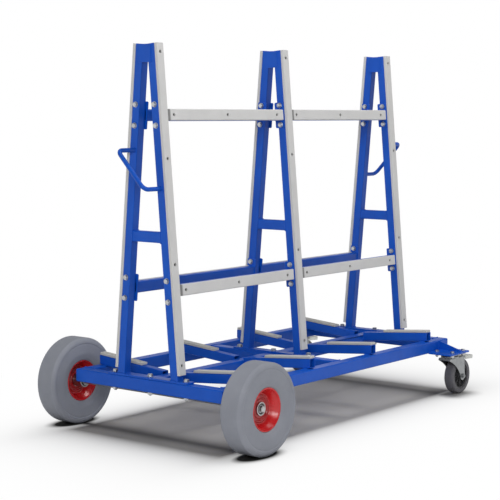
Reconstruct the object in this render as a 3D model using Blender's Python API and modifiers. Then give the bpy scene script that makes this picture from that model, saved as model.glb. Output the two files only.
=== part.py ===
"""Slab buggy: a two-sided leaning frame for slabs on two fixed wheels and two braked casters.

Metres, +Z up. X runs along the buggy from the wheel end to the caster end and Y across it,
with the near side at -Y. The origin lies on the ground under the middle A-frame.
"""
import math

import bmesh
import bpy
from mathutils import Matrix, Vector

NEAR, FAR = -1, 1
SIDE_NAMES = {NEAR: "near", FAR: "far"}

# Clearances, overlaps and fineness
FIT = 0.0003                # between pieces that are bolted, screwed or welded face to face
SPIN_GAP = 0.0006           # around a pin that turns
WELD = 0.0015               # how far a welded piece runs into what carries it
OVERRUN = 0.01              # how far a cutter runs past what it cuts
MERGE = 0.00001             # points closer than this are one point
CORNER_STEPS = 2
EDGE_STEPS = 1
HOLE_SIDES = 8
NUT_SIDES = 6
PIN_SIDES = 12
TUBE_FINENESS = 3
SHARP_ANGLE = math.radians(35)

# Base frame of square tube
FRAME_PITCH = 0.889         # from one A-frame to the next
BASE_TUBE = 0.058
BASE_WALL = 0.003
BASE_CORNER = 0.006
BASE_WIDTH = 0.8656         # over the side rails
BASE_BOTTOM = 0.2195        # also the height of the casters

# Bearers, which lean square to the slab faces, and their pads
BEARER_FROM_MIDDLE = 0.250  # from the middle A-frame
BEARER_FROM_END = 0.131     # from an end A-frame
BEARER_WIDTH = 0.040
BEARER_DEPTH = 0.043
BEARER_WALL = 0.003
BEARER_CORNER = 0.004
BEARER_INSET = 0.0178       # outer end, inside the side rail's outer face
PAD_START = 0.153           # inner end, from the centre line
PAD_WIDTH = 0.038
PAD_THICK = 0.012
PAD_CORNER = 0.003

# A-frames
LEAN = math.radians(4.915)
FRAME_TOP = 1.7347
TOP_SPREAD = 0.1054         # over the posts at their top
POST_WIDTH = 0.042
POST_DEPTH = 0.0413
POST_WALL = 0.003
POST_CORNER = 0.004
CROSSBAR_TOP = 0.925
CROSSBAR_HEIGHT = 0.047
CROSSBAR_WIDTH = 0.041
TOP_PLATE_WIDTH = 0.073
TOP_PLATE_HEIGHT = 0.078
TOP_PLATE_DROP = 0.0037     # below the top of the posts
TOP_PLATE_THICK = 0.005
FOOT_BAR_LENGTH = 0.470
FOOT_BAR_WIDTH = 0.050
FOOT_BAR_THICK = 0.008
FOOT_BAR_CORNER = 0.004
FOOT_BOLT_REACH = 0.210     # outer bolts, from the centre line
FOOT_BOLT_HOLE = 0.0065     # radius

# Rails between the A-frames, their end plates, and the rubber strips
UPPER_RAIL_HEIGHT = 1.4295
LOWER_RAIL_HEIGHT = 0.6730
RAIL_HEIGHT = 0.050
RAIL_DEPTH = 0.030
RAIL_WALL = 0.003
RAIL_CORNER = 0.004
END_PLATE_HEIGHT = 0.121
END_PLATE_WIDTH = 0.051
END_PLATE_THICK = 0.006
END_PLATE_CORNER = 0.004
RAIL_BOLT_REACH = 0.0455    # above and below the rail's centre line
RAIL_BOLT_HOLE = 0.0055     # radius
STRIP_THICK = 0.0155
STRIP_FOOT = 0.310          # height of a post strip's lower end
STRIP_CORNER = 0.002
RAIL_STRIP_HEIGHT = 0.050
RAIL_STRIP_CORNER = 0.004

# Handles, bent from round tube
HANDLE_RADIUS = 0.0098
HANDLE_REACH = 0.1035       # from the post's face to the grip's centre line
HANDLE_HIGH = 1.276
HANDLE_LOW = 1.113
HANDLE_BEND = 0.028
HANDLE_BEND_STEPS = 5
HANDLE_INSET = 0.005        # high leg, from the post's middle towards the centre line

# Wheels on the axle
TYRE_RADIUS = 0.200
TYRE_WIDTH = 0.110
TYRE_BEAD = 0.003           # from the rim's edge to the tyre's
TYRE_SHARES = ((0.30, 1.00), (0.85, 0.98), (0.955, 0.91), (1.00, 0.76))   # of its wall and half width
TYRE_STEPS = 32
WHEEL_OUTSET = 0.1095       # middle plane, out from the side rail
AXLE_FROM_END = 0.079       # from the wheel-end A-frame
AXLE_RADIUS = 0.0125
RIM_RADIUS = 0.094
RIM_WIDTH = 0.0884
RIM_SHEET = 0.0035
RIM_DISH_SHARES = ((0.00, 0.20), (0.24, 0.10), (0.42, 0.22), (0.54, 0.12), (0.62, 0.38))
RIM_WELL_SHARES = (0.66, 0.40)   # of the way from hub to edge, and of the half width
RIM_STEPS = 24
HUB_RADIUS = 0.0295
HUB_INNER_REACH = 0.0623    # from the wheel's middle plane towards the frame
HUB_OUTER_REACH = 0.0152    # from the wheel's middle plane outwards
HUB_RECESS_RADIUS = 0.0235
HUB_RECESS_DEPTH = 0.006
HUB_STEPS = 16
COLLAR_RADIUS = 0.020
COLLAR_THICK = 0.006
WASHER_THICK = 0.0025
NUT_RADIUS = 0.0170         # over its corners
NUT_THICK = 0.012
AXLE_END = 0.003            # the shaft's end past its nut
SADDLE_LENGTH = 0.050
SADDLE_DROP = 0.0185        # below the side rail

# Caster brackets on the side rails
BRACKET_LENGTH = 0.1925
BRACKET_REACH = 0.1312      # out from the side rail
BRACKET_THICK = 0.008
BRACKET_CORNER = 0.006
GUSSET_THICK = 0.008
GUSSET_TOP_DROP = 0.003     # its inner edge, below the side rail's top
GUSSET_TOE = 0.007          # its outer edge, above the bracket plate
CASTER_FROM_END = 0.082     # swivel axis, from the frame's end
CASTER_OUTSET = 0.0627      # swivel axis, out from the side rail
CASTER_BOLT_SPAN_X = 0.104
CASTER_BOLT_SPAN_Y = 0.090
CASTER_BOLT_HOLE = 0.0055   # radius

# Casters
CASTER_PLATE_LENGTH = 0.140
CASTER_PLATE_WIDTH = 0.112
CASTER_PLATE_THICK = 0.006
CASTER_PLATE_CORNER = 0.010
RACE_RADIUS = 0.040
RACE_HEIGHT = 0.0078        # of the fixed race under the plate
DISH_RADIUS = 0.046
DISH_HEIGHT = 0.0075        # of the turning race on the fork
KING_PIN_RADIUS = 0.008
KING_PIN_HEAD_RADIUS = 0.014
KING_PIN_HEAD_THICK = 0.004
RACE_STEPS = 20
FORK_SHEET = 0.0045
FORK_GAP = 0.058            # between the arms
FORK_BEND = 0.009
FORK_BEND_STEPS = 2
FORK_FRONT = 0.056          # crown's reach ahead of the swivel axis
FORK_BACK = 0.088           # crown's reach behind the swivel axis
FORK_EYE = 0.021            # radius of the arm round the wheel's axle
FORK_CURVE_STEPS = 4
FORK_CURVE_PULL_SHARES = (0.26, 0.66)   # of the leading edge's width and height
TRAIL = 0.075
CASTER_RADIUS = 0.092
CASTER_WIDTH = 0.050
CASTER_SHOULDER = 0.009
CASTER_SHOULDER_STEPS = 3
CASTER_STEPS = 24
CORE_RADIUS = 0.066
CORE_WIDTH = 0.044
CORE_WEB = 0.012
CORE_RIM = 0.008
CORE_HUB_RADIUS = 0.021
CORE_HUB_WIDTH = 0.054
CORE_STEPS = 16
CASTER_AXLE_RADIUS = 0.006
CASTER_NUT_RADIUS = 0.0115  # over its corners
CASTER_NUT_THICK = 0.009
PEDAL_PIN_RADIUS = 0.0027
PEDAL_BARREL_RADIUS = 0.0052
PEDAL_LUG_RADIUS = 0.008
PEDAL_LUG_TURN = 70         # degrees of arc above and below the pin
PEDAL_PIN_DROP = 0.008      # below the crown's top
PEDAL_SHEET = 0.0035
PEDAL_SIDE_GAP = 0.002
PEDAL_NECK = 0.013          # from the pin to where the pedal widens
PEDAL_REACH = 0.103         # from the pin to the tip
PEDAL_RISE = 0.0045         # of its top at the pin, above the pin
PEDAL_FALL = 0.0065         # of the tip's top edge below its top at the pin
PEDAL_DEPTH = 0.0175        # of the rim that runs down round it
PEDAL_WIDTH = 0.066
PEDAL_CORNER = 0.022        # of the tip, seen from above
PEDAL_CORNER_STEPS = 4

# Worked out from the sizes above
BASE_TOP = BASE_BOTTOM + BASE_TUBE
BASE_MIDDLE = BASE_BOTTOM + BASE_TUBE / 2
FRAME_END = FRAME_PITCH + BASE_TUBE / 2
FOOT_TOP = BASE_TOP + FIT + FOOT_BAR_THICK
RAIL_INNER_FACE = BASE_WIDTH / 2 - BASE_TUBE
BEARER_REACH = BASE_WIDTH / 2 - BEARER_INSET
WHEEL_TRACK = BASE_WIDTH + 2 * WHEEL_OUTSET
AXLE_X = AXLE_FROM_END - FRAME_PITCH
CASTER_X = FRAME_END - CASTER_FROM_END
CASTER_Y = BASE_WIDTH / 2 + CASTER_OUTSET
CROWN_TOP = BASE_BOTTOM - FIT - CASTER_PLATE_THICK - RACE_HEIGHT - FIT - DISH_HEIGHT
PEDAL_PIN_HEIGHT = CROWN_TOP - PEDAL_PIN_DROP

BLUE = ("blue_paint", (0.018, 0.072, 0.420), 0.38, 0.0)
RUBBER = ("grey_rubber", (0.500, 0.495, 0.480), 0.75, 0.0)
PAD_RUBBER = ("pad_rubber", (0.560, 0.555, 0.520), 0.75, 0.0)
TYRE = ("grey_tyre", (0.215, 0.235, 0.265), 0.70, 0.0)
RED = ("red_paint", (0.560, 0.010, 0.012), 0.20, 0.0)
ZINC = ("zinc", (0.600, 0.610, 0.600), 0.35, 1.0)
DARK_RUBBER = ("dark_rubber", (0.070, 0.068, 0.075), 0.65, 0.0)
DARK_PLASTIC = ("dark_plastic", (0.045, 0.045, 0.048), 0.50, 0.0)
PEDAL_GREY = ("pedal_grey", (0.330, 0.340, 0.320), 0.45, 0.6)


def empty_scene():
    for obj in list(bpy.data.objects):
        bpy.data.objects.remove(obj, do_unlink=True)


def new_collection(name):
    collection = bpy.data.collections.new(name)
    bpy.context.scene.collection.children.link(collection)
    return collection


empty_scene()
PARTS = new_collection("slab_buggy")


# Materials and objects

def material(finish):
    """The Principled material of a finish: name, colour, roughness and metallic value."""
    name, colour, roughness, metallic = finish
    found = bpy.data.materials.get(name)
    if found:
        return found
    made = bpy.data.materials.new(name)
    made.use_nodes = True
    shader = made.node_tree.nodes["Principled BSDF"]
    shader.inputs["Base Color"].default_value = (*colour, 1.0)
    shader.inputs["Roughness"].default_value = roughness
    shader.inputs["Metallic"].default_value = metallic
    made.diffuse_color = (*colour, 1.0)
    return made


def new_object(name, data):
    obj = bpy.data.objects.new(name, data)
    PARTS.objects.link(obj)
    return obj


def loose_shape(bm, place):
    """An object from a bmesh, with its place in its mesh."""
    bmesh.ops.transform(bm, matrix=place, verts=bm.verts)
    mesh = bpy.data.meshes.new("shape")
    bm.to_mesh(mesh)
    bm.free()
    return new_object("shape", mesh)


def as_mesh(obj):
    """A welded plain mesh in place of an object, its curve and its modifiers."""
    depsgraph = bpy.context.evaluated_depsgraph_get()
    mesh = bpy.data.meshes.new_from_object(obj.evaluated_get(depsgraph))
    mesh.transform(obj.matrix_world)
    bm = bmesh.new()
    bm.from_mesh(mesh)
    bmesh.ops.remove_doubles(bm, verts=bm.verts, dist=MERGE)
    bm.to_mesh(mesh)
    bm.free()
    bpy.data.objects.remove(obj)
    return new_object("shape", mesh)


def node(body, name, finish):
    """Turns a finished shape into a named sub-part with its material."""
    body.name = name
    body.data.name = name
    body.data.materials.clear()
    body.data.materials.append(material(finish))
    body.data.shade_smooth()
    body.data.set_sharp_from_angle(angle=SHARP_ANGLE)
    return body


def another(body, name):
    """A second sub-part that shares the first one's mesh."""
    return new_object(name, body.data)


def guide(name, place, parent=None):
    """An empty that carries sub-parts: a leaning face or an axis."""
    empty = new_object(name, None)
    empty.parent = parent
    empty.matrix_local = place
    return empty


# Shapes

def bar(size, centre=(0, 0, 0), corner=0, along="X", steps=CORNER_STEPS, place=Matrix()):
    """A bar with rounded edges along one axis, or on every edge where along is empty."""
    bm = bmesh.new()
    bmesh.ops.create_cube(bm, size=1)
    bmesh.ops.scale(bm, vec=size, verts=bm.verts)
    bmesh.ops.translate(bm, vec=centre, verts=bm.verts)
    if corner:
        edges = [edge for edge in bm.edges if not along or "XYZ"[main_axis(edge)] == along]
        bmesh.ops.bevel(bm, geom=edges, offset=corner, segments=steps, profile=0.5,
                        affect="EDGES", clamp_overlap=True)
    return loose_shape(bm, place)


def main_axis(edge):
    delta = edge.verts[1].co - edge.verts[0].co
    return max(range(3), key=lambda axis: abs(delta[axis]))


def rod(radius, start, end, sides=PIN_SIDES, place=Matrix()):
    """A round or many-sided bar from one point to another."""
    start = Vector(start)
    end = Vector(end)
    bm = bmesh.new()
    bmesh.ops.create_cone(bm, cap_ends=True, segments=sides, radius1=radius, radius2=radius,
                          depth=(end - start).length)
    turn = (end - start).to_track_quat("Z", "Y").to_matrix().to_4x4()
    return loose_shape(bm, place @ Matrix.Translation((start + end) / 2) @ turn)


def turned(profile, steps, closed=True):
    """A turned shape from points of radius and height that run down its outer side."""
    points = [(radius, 0, height) for radius, height in profile]
    edges = [(index, index + 1) for index in range(len(points) - 1)]
    if closed:
        edges.append((len(points) - 1, 0))
    mesh = bpy.data.meshes.new("profile")
    mesh.from_pydata(points, edges, [])
    obj = new_object("profile", mesh)
    screw = obj.modifiers.new("turn", "SCREW")
    screw.steps = steps
    screw.render_steps = steps
    screw.use_merge_vertices = True
    screw.merge_threshold = MERGE
    return as_mesh(obj)


def plate(outline, thickness, place=Matrix()):
    """A flat plate from its outline in x and y, centred on its thickness."""
    curve = bpy.data.curves.new("outline", "CURVE")
    curve.dimensions = "2D"
    curve.fill_mode = "BOTH"
    curve.extrude = thickness / 2
    spline = curve.splines.new("POLY")
    spline.points.add(len(outline) - 1)
    for point, (x, y) in zip(spline.points, outline):
        point.co = (x, y, 0, 1)
    spline.use_cyclic_u = True
    obj = as_mesh(new_object("outline", curve))
    obj.data.transform(place)
    return obj


def folded_sheet(profile, width, thickness, place=Matrix()):
    """A sheet folded along a profile in x and z, with that profile as its upper side."""
    bm = bmesh.new()
    rows = [[bm.verts.new((x, side * width / 2, z)) for side in (-1, 1)] for x, z in profile]
    for here, there in zip(rows, rows[1:]):
        bm.faces.new((here[0], there[0], there[1], here[1]))
    obj = loose_shape(bm, place)
    wall = obj.modifiers.new("sheet", "SOLIDIFY")
    wall.thickness = thickness
    wall.offset = -1
    wall.use_even_offset = True
    return as_mesh(obj)


def tube_along(points, radius):
    """A round tube along a line of points, with closed ends."""
    curve = bpy.data.curves.new("tube", "CURVE")
    curve.dimensions = "3D"
    curve.bevel_depth = radius
    curve.bevel_resolution = TUBE_FINENESS
    curve.use_fill_caps = True
    spline = curve.splines.new("POLY")
    spline.points.add(len(points) - 1)
    for point, place in zip(spline.points, points):
        point.co = (*place, 1)
    return as_mesh(new_object("tube", curve))


def combine(body, tool, operation):
    """Unites, cuts or trims a body with a tool, and removes the tool."""
    modifier = body.modifiers.new("combine", "BOOLEAN")
    modifier.operation = operation
    modifier.solver = "EXACT"
    modifier.object = tool
    combined = as_mesh(body)
    bpy.data.objects.remove(tool)
    return combined


def joined(solids, cuts=()):
    """One closed body: the solids united, then the cutters taken away."""
    body = solids[0]
    for solid in solids[1:]:
        body = combine(body, solid, "UNION")
    for cutter in cuts:
        body = combine(body, cutter, "DIFFERENCE")
    return body


def arc(centre, radius, start, end, steps):
    """Points along an arc in a plane, with its ends as angles in degrees."""
    angles = [math.radians(start + (end - start) * step / steps) for step in range(steps + 1)]
    return [(centre[0] + radius * math.cos(angle), centre[1] + radius * math.sin(angle))
            for angle in angles]


def pulled_curve(start, pull, end, steps):
    """Points along a curve from start to end that leans towards a third point."""
    points = []
    for step in range(steps + 1):
        share = step / steps
        weights = ((1 - share) ** 2, 2 * share * (1 - share), share ** 2)
        points.append(tuple(weights[0] * a + weights[1] * b + weights[2] * c
                            for a, b, c in zip(start, pull, end)))
    return points


def rounded_path(corners, radius, steps):
    """The points of a bent tube: straight runs with an arc at each inner corner."""
    corners = [Vector(corner) for corner in corners]
    points = [corners[0]]
    for before, corner, after in zip(corners, corners[1:], corners[2:]):
        back = (before - corner).normalized()
        onward = (after - corner).normalized()
        half_angle = back.angle(onward) / 2
        centre = corner + (back + onward).normalized() * radius / math.sin(half_angle)
        start = corner + back * radius / math.tan(half_angle) - centre
        axis = back.cross(onward).normalized()
        turn = -(math.pi - 2 * half_angle)
        for step in range(steps + 1):
            points.append(centre + Matrix.Rotation(turn * step / steps, 3, axis) @ start)
    points.append(corners[-1])
    return points


# The leaning slab faces

def slab_face(side):
    """A leaning face: x along the buggy, y out of the face, z up the slope.

    Its origin is the face's top edge on the middle A-frame.
    """
    turn = 0 if side == FAR else math.pi
    return (Matrix.Translation((0, side * TOP_SPREAD / 2, FRAME_TOP))
            @ Matrix.Rotation(turn, 4, "Z") @ Matrix.Rotation(LEAN, 4, "X"))


def up_slope(height):
    """A height on the slab face, as a distance up the slope from its top edge."""
    return (height - FRAME_TOP) / math.cos(LEAN)


def face_reach(height):
    """How far the slab face is from the centre line at a height."""
    return TOP_SPREAD / 2 + (FRAME_TOP - height) * math.tan(LEAN)


def rail_bolt_slopes():
    """Where the bolts of both rails cross a post, up the slope."""
    return [up_slope(height) + step * RAIL_BOLT_REACH
            for height in (UPPER_RAIL_HEIGHT, LOWER_RAIL_HEIGHT) for step in (-1, 1)]


# Base frame

def base_tube(length, along):
    """A square base tube about its centre, and the cutter for its bore."""
    axis = "XY".index(along)
    outer = [BASE_TUBE] * 3
    inner = [BASE_TUBE - 2 * BASE_WALL] * 3
    outer[axis] = length
    inner[axis] = length + 2 * OVERRUN
    return bar(outer, corner=BASE_CORNER, along=along), bar(inner)


def foot_bolt_cutters(bottom, top, x=0):
    """Cutters for the three bolts that hold an A-frame down."""
    return [rod(FOOT_BOLT_HOLE, (x, y, bottom - OVERRUN), (x, y, top + OVERRUN), HOLE_SIDES)
            for y in (-FOOT_BOLT_REACH, 0, FOOT_BOLT_REACH)]


def cross_tubes():
    """Full width with closed ends at the wheel end, and between the side rails elsewhere."""
    bolts = BASE_TUBE / 2
    outer = bar((BASE_TUBE, BASE_WIDTH, BASE_TUBE), corner=BASE_CORNER, along="")
    inner_side = BASE_TUBE - 2 * BASE_WALL
    bore = bar((inner_side, BASE_WIDTH - 2 * BASE_WALL, inner_side))
    wheel_end = joined([outer], [bore] + foot_bolt_cutters(-bolts, bolts))
    node(wheel_end, "cross_tube_wheel_end", BLUE)
    wheel_end.location = (-FRAME_PITCH, 0, BASE_MIDDLE)

    outer, bore = base_tube(2 * (RAIL_INNER_FACE - FIT), "Y")
    middle = joined([outer], [bore] + foot_bolt_cutters(-bolts, bolts))
    node(middle, "cross_tube_middle", BLUE)
    middle.location = (0, 0, BASE_MIDDLE)
    caster_end = another(middle, "cross_tube_caster_end")
    caster_end.location = (FRAME_PITCH, 0, BASE_MIDDLE)


def caster_bolt_places():
    return [(x * CASTER_BOLT_SPAN_X / 2, y * CASTER_BOLT_SPAN_Y / 2)
            for x in (-1, 1) for y in (-1, 1)]


def axle_saddle():
    """A block under the side rail with a half-round seat for the axle, about the rail's centre."""
    height = SADDLE_DROP + WELD
    middle = -BASE_TUBE / 2 - SADDLE_DROP + height / 2
    axle_height = TYRE_RADIUS - BASE_MIDDLE
    block = bar((SADDLE_LENGTH, BASE_TUBE, height), (AXLE_X, 0, middle))
    run = BASE_TUBE / 2 + OVERRUN
    seat = rod(AXLE_RADIUS + SPIN_GAP, (AXLE_X, -run, axle_height), (AXLE_X, run, axle_height))
    return joined([block], [seat])


def caster_bracket(side):
    """A plate out from the side rail with a sloping gusset, about the rail's centre."""
    rail_face = side * BASE_TUBE / 2
    reach = BRACKET_REACH + WELD
    plate_middle = rail_face + side * (BRACKET_REACH - WELD) / 2
    plate_top = BRACKET_THICK - BASE_TUBE / 2
    flat = bar((BRACKET_LENGTH, reach, BRACKET_THICK),
               (FRAME_END - BRACKET_LENGTH / 2, plate_middle, plate_top - BRACKET_THICK / 2),
               BRACKET_CORNER, "Z", EDGE_STEPS)
    gusset_outline = [
        (-WELD, plate_top - WELD),
        (BRACKET_REACH, plate_top - WELD),
        (BRACKET_REACH, plate_top + GUSSET_TOE),
        (-WELD, BASE_TUBE / 2 - GUSSET_TOP_DROP),
    ]
    upright = Matrix.Rotation(math.pi / 2, 4, "Z") @ Matrix.Rotation(math.pi / 2, 4, "X")
    outline = [(rail_face + side * out, up) for out, up in gusset_outline]
    gusset = plate(outline, GUSSET_THICK, Matrix.Translation((CASTER_X, 0, 0)) @ upright)
    swivel_y = rail_face + side * CASTER_OUTSET
    bottom = plate_top - BRACKET_THICK - OVERRUN
    holes = [rod(CASTER_BOLT_HOLE, (CASTER_X + x, swivel_y + y, bottom),
                 (CASTER_X + x, swivel_y + y, plate_top + OVERRUN), HOLE_SIDES)
             for x, y in caster_bolt_places()]
    return joined([flat, gusset], holes)


def side_rail(side):
    """A long rail, closed at the caster end, with its axle saddle and caster bracket."""
    start = BASE_TUBE / 2 + FIT - FRAME_PITCH
    length = FRAME_END - start
    tube = bar((length, BASE_TUBE, BASE_TUBE), ((start + FRAME_END) / 2, 0, 0), corner=BASE_CORNER)
    bore_start = start - OVERRUN
    bore_end = FRAME_END - BASE_WALL
    inner_side = BASE_TUBE - 2 * BASE_WALL
    bore = bar((bore_end - bore_start, inner_side, inner_side), ((bore_start + bore_end) / 2, 0, 0))
    rail = joined([tube, axle_saddle(), caster_bracket(side)], [bore])
    node(rail, f"side_rail_{SIDE_NAMES[side]}", BLUE)
    rail.location = (0, side * (BASE_WIDTH - BASE_TUBE) / 2, BASE_MIDDLE)


def bearer_slant():
    """Turns a level bearer into one that rises outwards, with its ends still upright."""
    slant = Matrix.Identity(4)
    slant[2][1] = math.tan(LEAN)
    return slant


def bearer_depth():
    """A bearer's height where it is cut upright."""
    return BEARER_DEPTH / math.cos(LEAN)


def bearer_seat():
    """Height of a bearer's underside if it ran on to the centre line.

    The underside rests on the inner top edge of the side rail.
    """
    return BASE_TOP + FIT - RAIL_INNER_FACE * math.tan(LEAN)


def bearer(x, side, hollow):
    """A bearer or the cutter for its bore, about the spine's centre."""
    start = BASE_TUBE / 2 - WELD
    end = BEARER_REACH
    width = BEARER_WIDTH
    depth = bearer_depth()
    corner = BEARER_CORNER
    if not hollow:
        start -= OVERRUN
        end += OVERRUN
        width -= 2 * BEARER_WALL
        depth -= 2 * BEARER_WALL
        corner = 0
    middle = bearer_seat() - BASE_MIDDLE + bearer_depth() / 2
    turn = Matrix.Rotation(0 if side == FAR else math.pi, 4, "Z")
    place = Matrix.Translation((x, 0, middle)) @ turn @ bearer_slant()
    return bar((width, end - start, depth), (0, (start + end) / 2, 0), corner, "Y", place=place)


def spines():
    """Two centre tubes, each with four bearers whose bores stay open at both ends."""
    length = FRAME_PITCH - BASE_TUBE - 2 * FIT
    tube, bore = base_tube(length, "X")
    middle = -FRAME_PITCH / 2
    places = [(x - middle, side) for x in (BEARER_FROM_END - FRAME_PITCH, -BEARER_FROM_MIDDLE)
              for side in (NEAR, FAR)]
    bearers = [joined([bearer(x, side, True)], [bearer(x, side, False)]) for x, side in places]
    wheel_end = joined([tube] + bearers, [bore])
    node(wheel_end, "spine_wheel_end", BLUE)
    wheel_end.location = (middle, 0, BASE_MIDDLE)
    caster_end = another(wheel_end, "spine_caster_end")
    caster_end.location = (-middle, 0, BASE_MIDDLE)
    caster_end.rotation_euler = (0, 0, math.pi)


def pads():
    """Rubber pads along the outer part of the bearers."""
    length = (BEARER_REACH - PAD_START) / math.cos(LEAN)
    shape = bar((PAD_WIDTH, length, PAD_THICK), (0, 0, PAD_THICK / 2 + FIT), PAD_CORNER, "", EDGE_STEPS)
    node(shape, "pad_near_1", PAD_RUBBER)
    middle = (PAD_START + BEARER_REACH) / 2
    top = bearer_seat() + bearer_depth() + middle * math.tan(LEAN)
    end_bearer = FRAME_PITCH - BEARER_FROM_END
    for side in (NEAR, FAR):
        for number, x in enumerate((-end_bearer, -BEARER_FROM_MIDDLE, BEARER_FROM_MIDDLE, end_bearer), 1):
            name = f"pad_{SIDE_NAMES[side]}_{number}"
            pad = bpy.data.objects.get(name) or another(shape, name)
            pad.location = (x, side * middle, top)
            pad.rotation_euler = (side * LEAN, 0, 0)


# A-frames

def post(side):
    """A leaning post about the A-frame's place, and the cutters for its bore and bolts."""
    place = slab_face(side)
    length = (FRAME_TOP - FOOT_TOP + WELD) / math.cos(LEAN)
    outer = bar((POST_WIDTH, POST_DEPTH, length), (0, -POST_DEPTH / 2, -length / 2), POST_CORNER, "Z",
                place=place)
    bore_length = length - POST_WALL - FOOT_BAR_THICK
    bore = bar((POST_WIDTH - 2 * POST_WALL, POST_DEPTH - 2 * POST_WALL, bore_length),
               (0, -POST_DEPTH / 2, -POST_WALL - bore_length / 2), place=place)
    run = POST_WIDTH / 2 + OVERRUN
    bolts = [rod(RAIL_BOLT_HOLE, (-run, -POST_DEPTH / 2, slope), (run, -POST_DEPTH / 2, slope),
                 HOLE_SIDES, place) for slope in rail_bolt_slopes()]
    return outer, [bore] + bolts


def crossbar():
    """The bar between the posts, and the cutter for its bore."""
    middle = CROSSBAR_TOP - CROSSBAR_HEIGHT / 2
    length = 2 * face_reach(middle) - POST_DEPTH
    centre = (0, 0, middle)
    outer = bar((CROSSBAR_WIDTH, length, CROSSBAR_HEIGHT), centre, POST_CORNER, "Y", EDGE_STEPS)
    bore = bar((CROSSBAR_WIDTH - 2 * POST_WALL, length, CROSSBAR_HEIGHT - 2 * POST_WALL), centre)
    return outer, bore


def top_plate():
    """The plate that ties the posts' tops together, on their wheel-end faces."""
    middle = FRAME_TOP - TOP_PLATE_DROP - TOP_PLATE_HEIGHT / 2
    thickness = TOP_PLATE_THICK + WELD
    x = -POST_WIDTH / 2 - TOP_PLATE_THICK + thickness / 2
    return bar((thickness, TOP_PLATE_WIDTH, TOP_PLATE_HEIGHT), (x, 0, middle))


def a_frames():
    """Two leaning posts, a crossbar, a top plate and a foot bar, welded as one."""
    near_post, near_cuts = post(NEAR)
    far_post, far_cuts = post(FAR)
    bar_between, bar_bore = crossbar()
    foot_bottom = BASE_TOP + FIT
    foot = bar((FOOT_BAR_WIDTH, FOOT_BAR_LENGTH, FOOT_BAR_THICK),
               (0, 0, foot_bottom + FOOT_BAR_THICK / 2), FOOT_BAR_CORNER, "Z", EDGE_STEPS)
    cuts = near_cuts + far_cuts + [bar_bore] + foot_bolt_cutters(foot_bottom, FOOT_TOP)
    first = joined([near_post, far_post, bar_between, top_plate(), foot], cuts)
    node(first, "a_frame_1", BLUE)
    first.location = (-FRAME_PITCH, 0, 0)
    for number, x in ((2, 0), (3, FRAME_PITCH)):
        another(first, f"a_frame_{number}").location = (x, 0, 0)


# Rails and strips on the slab faces

def rail_with_plates():
    """A rail between two posts with an end plate at each end, about the rail's middle."""
    length = FRAME_PITCH - POST_WIDTH - 2 * FIT
    tube_length = length - 2 * END_PLATE_THICK + 2 * WELD
    centre = (0, -STRIP_THICK - FIT - RAIL_DEPTH / 2, 0)
    tube = bar((tube_length, RAIL_DEPTH, RAIL_HEIGHT), centre, RAIL_CORNER, "X", EDGE_STEPS)
    bore = bar((length + 2 * OVERRUN, RAIL_DEPTH - 2 * RAIL_WALL, RAIL_HEIGHT - 2 * RAIL_WALL), centre)
    plates = []
    holes = []
    for end in (-1, 1):
        outer = end * length / 2
        middle = outer - end * END_PLATE_THICK / 2
        plates.append(bar((END_PLATE_THICK, END_PLATE_WIDTH, END_PLATE_HEIGHT),
                          (middle, -END_PLATE_WIDTH / 2, 0), END_PLATE_CORNER, "X", EDGE_STEPS))
        for up in (-RAIL_BOLT_REACH, RAIL_BOLT_REACH):
            inner = outer - end * (END_PLATE_THICK + OVERRUN)
            holes.append(rod(RAIL_BOLT_HOLE, (inner, -POST_DEPTH / 2, up),
                             (outer + end * OVERRUN, -POST_DEPTH / 2, up), HOLE_SIDES))
    return joined([tube] + plates, [bore] + holes)


def rail_strip():
    """The rubber strip on a rail, about the rail's middle."""
    length = FRAME_PITCH - POST_WIDTH - 2 * END_PLATE_THICK - 4 * FIT
    return bar((length, STRIP_THICK, RAIL_STRIP_HEIGHT), (0, -STRIP_THICK / 2, 0), RAIL_STRIP_CORNER)


def post_strip():
    """The rubber strip on a post, below the face's top edge."""
    length = -up_slope(STRIP_FOOT)
    return bar((POST_WIDTH, STRIP_THICK, length), (0, STRIP_THICK / 2 + FIT, -length / 2),
               STRIP_CORNER, "Z", EDGE_STEPS)


def place_on_face(shape, name, finish, face, x, slope):
    """Places a sub-part on a leaning face, which turns it to that side."""
    if shape.name.startswith("shape"):
        part = node(shape, name, finish)
    else:
        part = another(shape, name)
    part.parent = face
    part.location = (x, 0, slope)


def slab_face_parts():
    """Rails, rail strips and post strips on both leaning faces."""
    rail = rail_with_plates()
    strip = rail_strip()
    upright = post_strip()
    for side in (NEAR, FAR):
        side_name = SIDE_NAMES[side]
        face = guide(f"slab_face_{side_name}", slab_face(side))
        for number, x in enumerate((-FRAME_PITCH, 0, FRAME_PITCH), 1):
            place_on_face(upright, f"post_strip_{side_name}_{number}", RUBBER, face, side * x, 0)
        for level, height in (("upper", UPPER_RAIL_HEIGHT), ("lower", LOWER_RAIL_HEIGHT)):
            for bay, x in enumerate((-FRAME_PITCH / 2, FRAME_PITCH / 2), 1):
                end = f"{level}_{side_name}_{bay}"
                place_on_face(rail, f"rail_{end}", BLUE, face, side * x, up_slope(height))
                place_on_face(strip, f"rail_strip_{end}", RUBBER, face, side * x, up_slope(height))


# Handles

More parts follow.
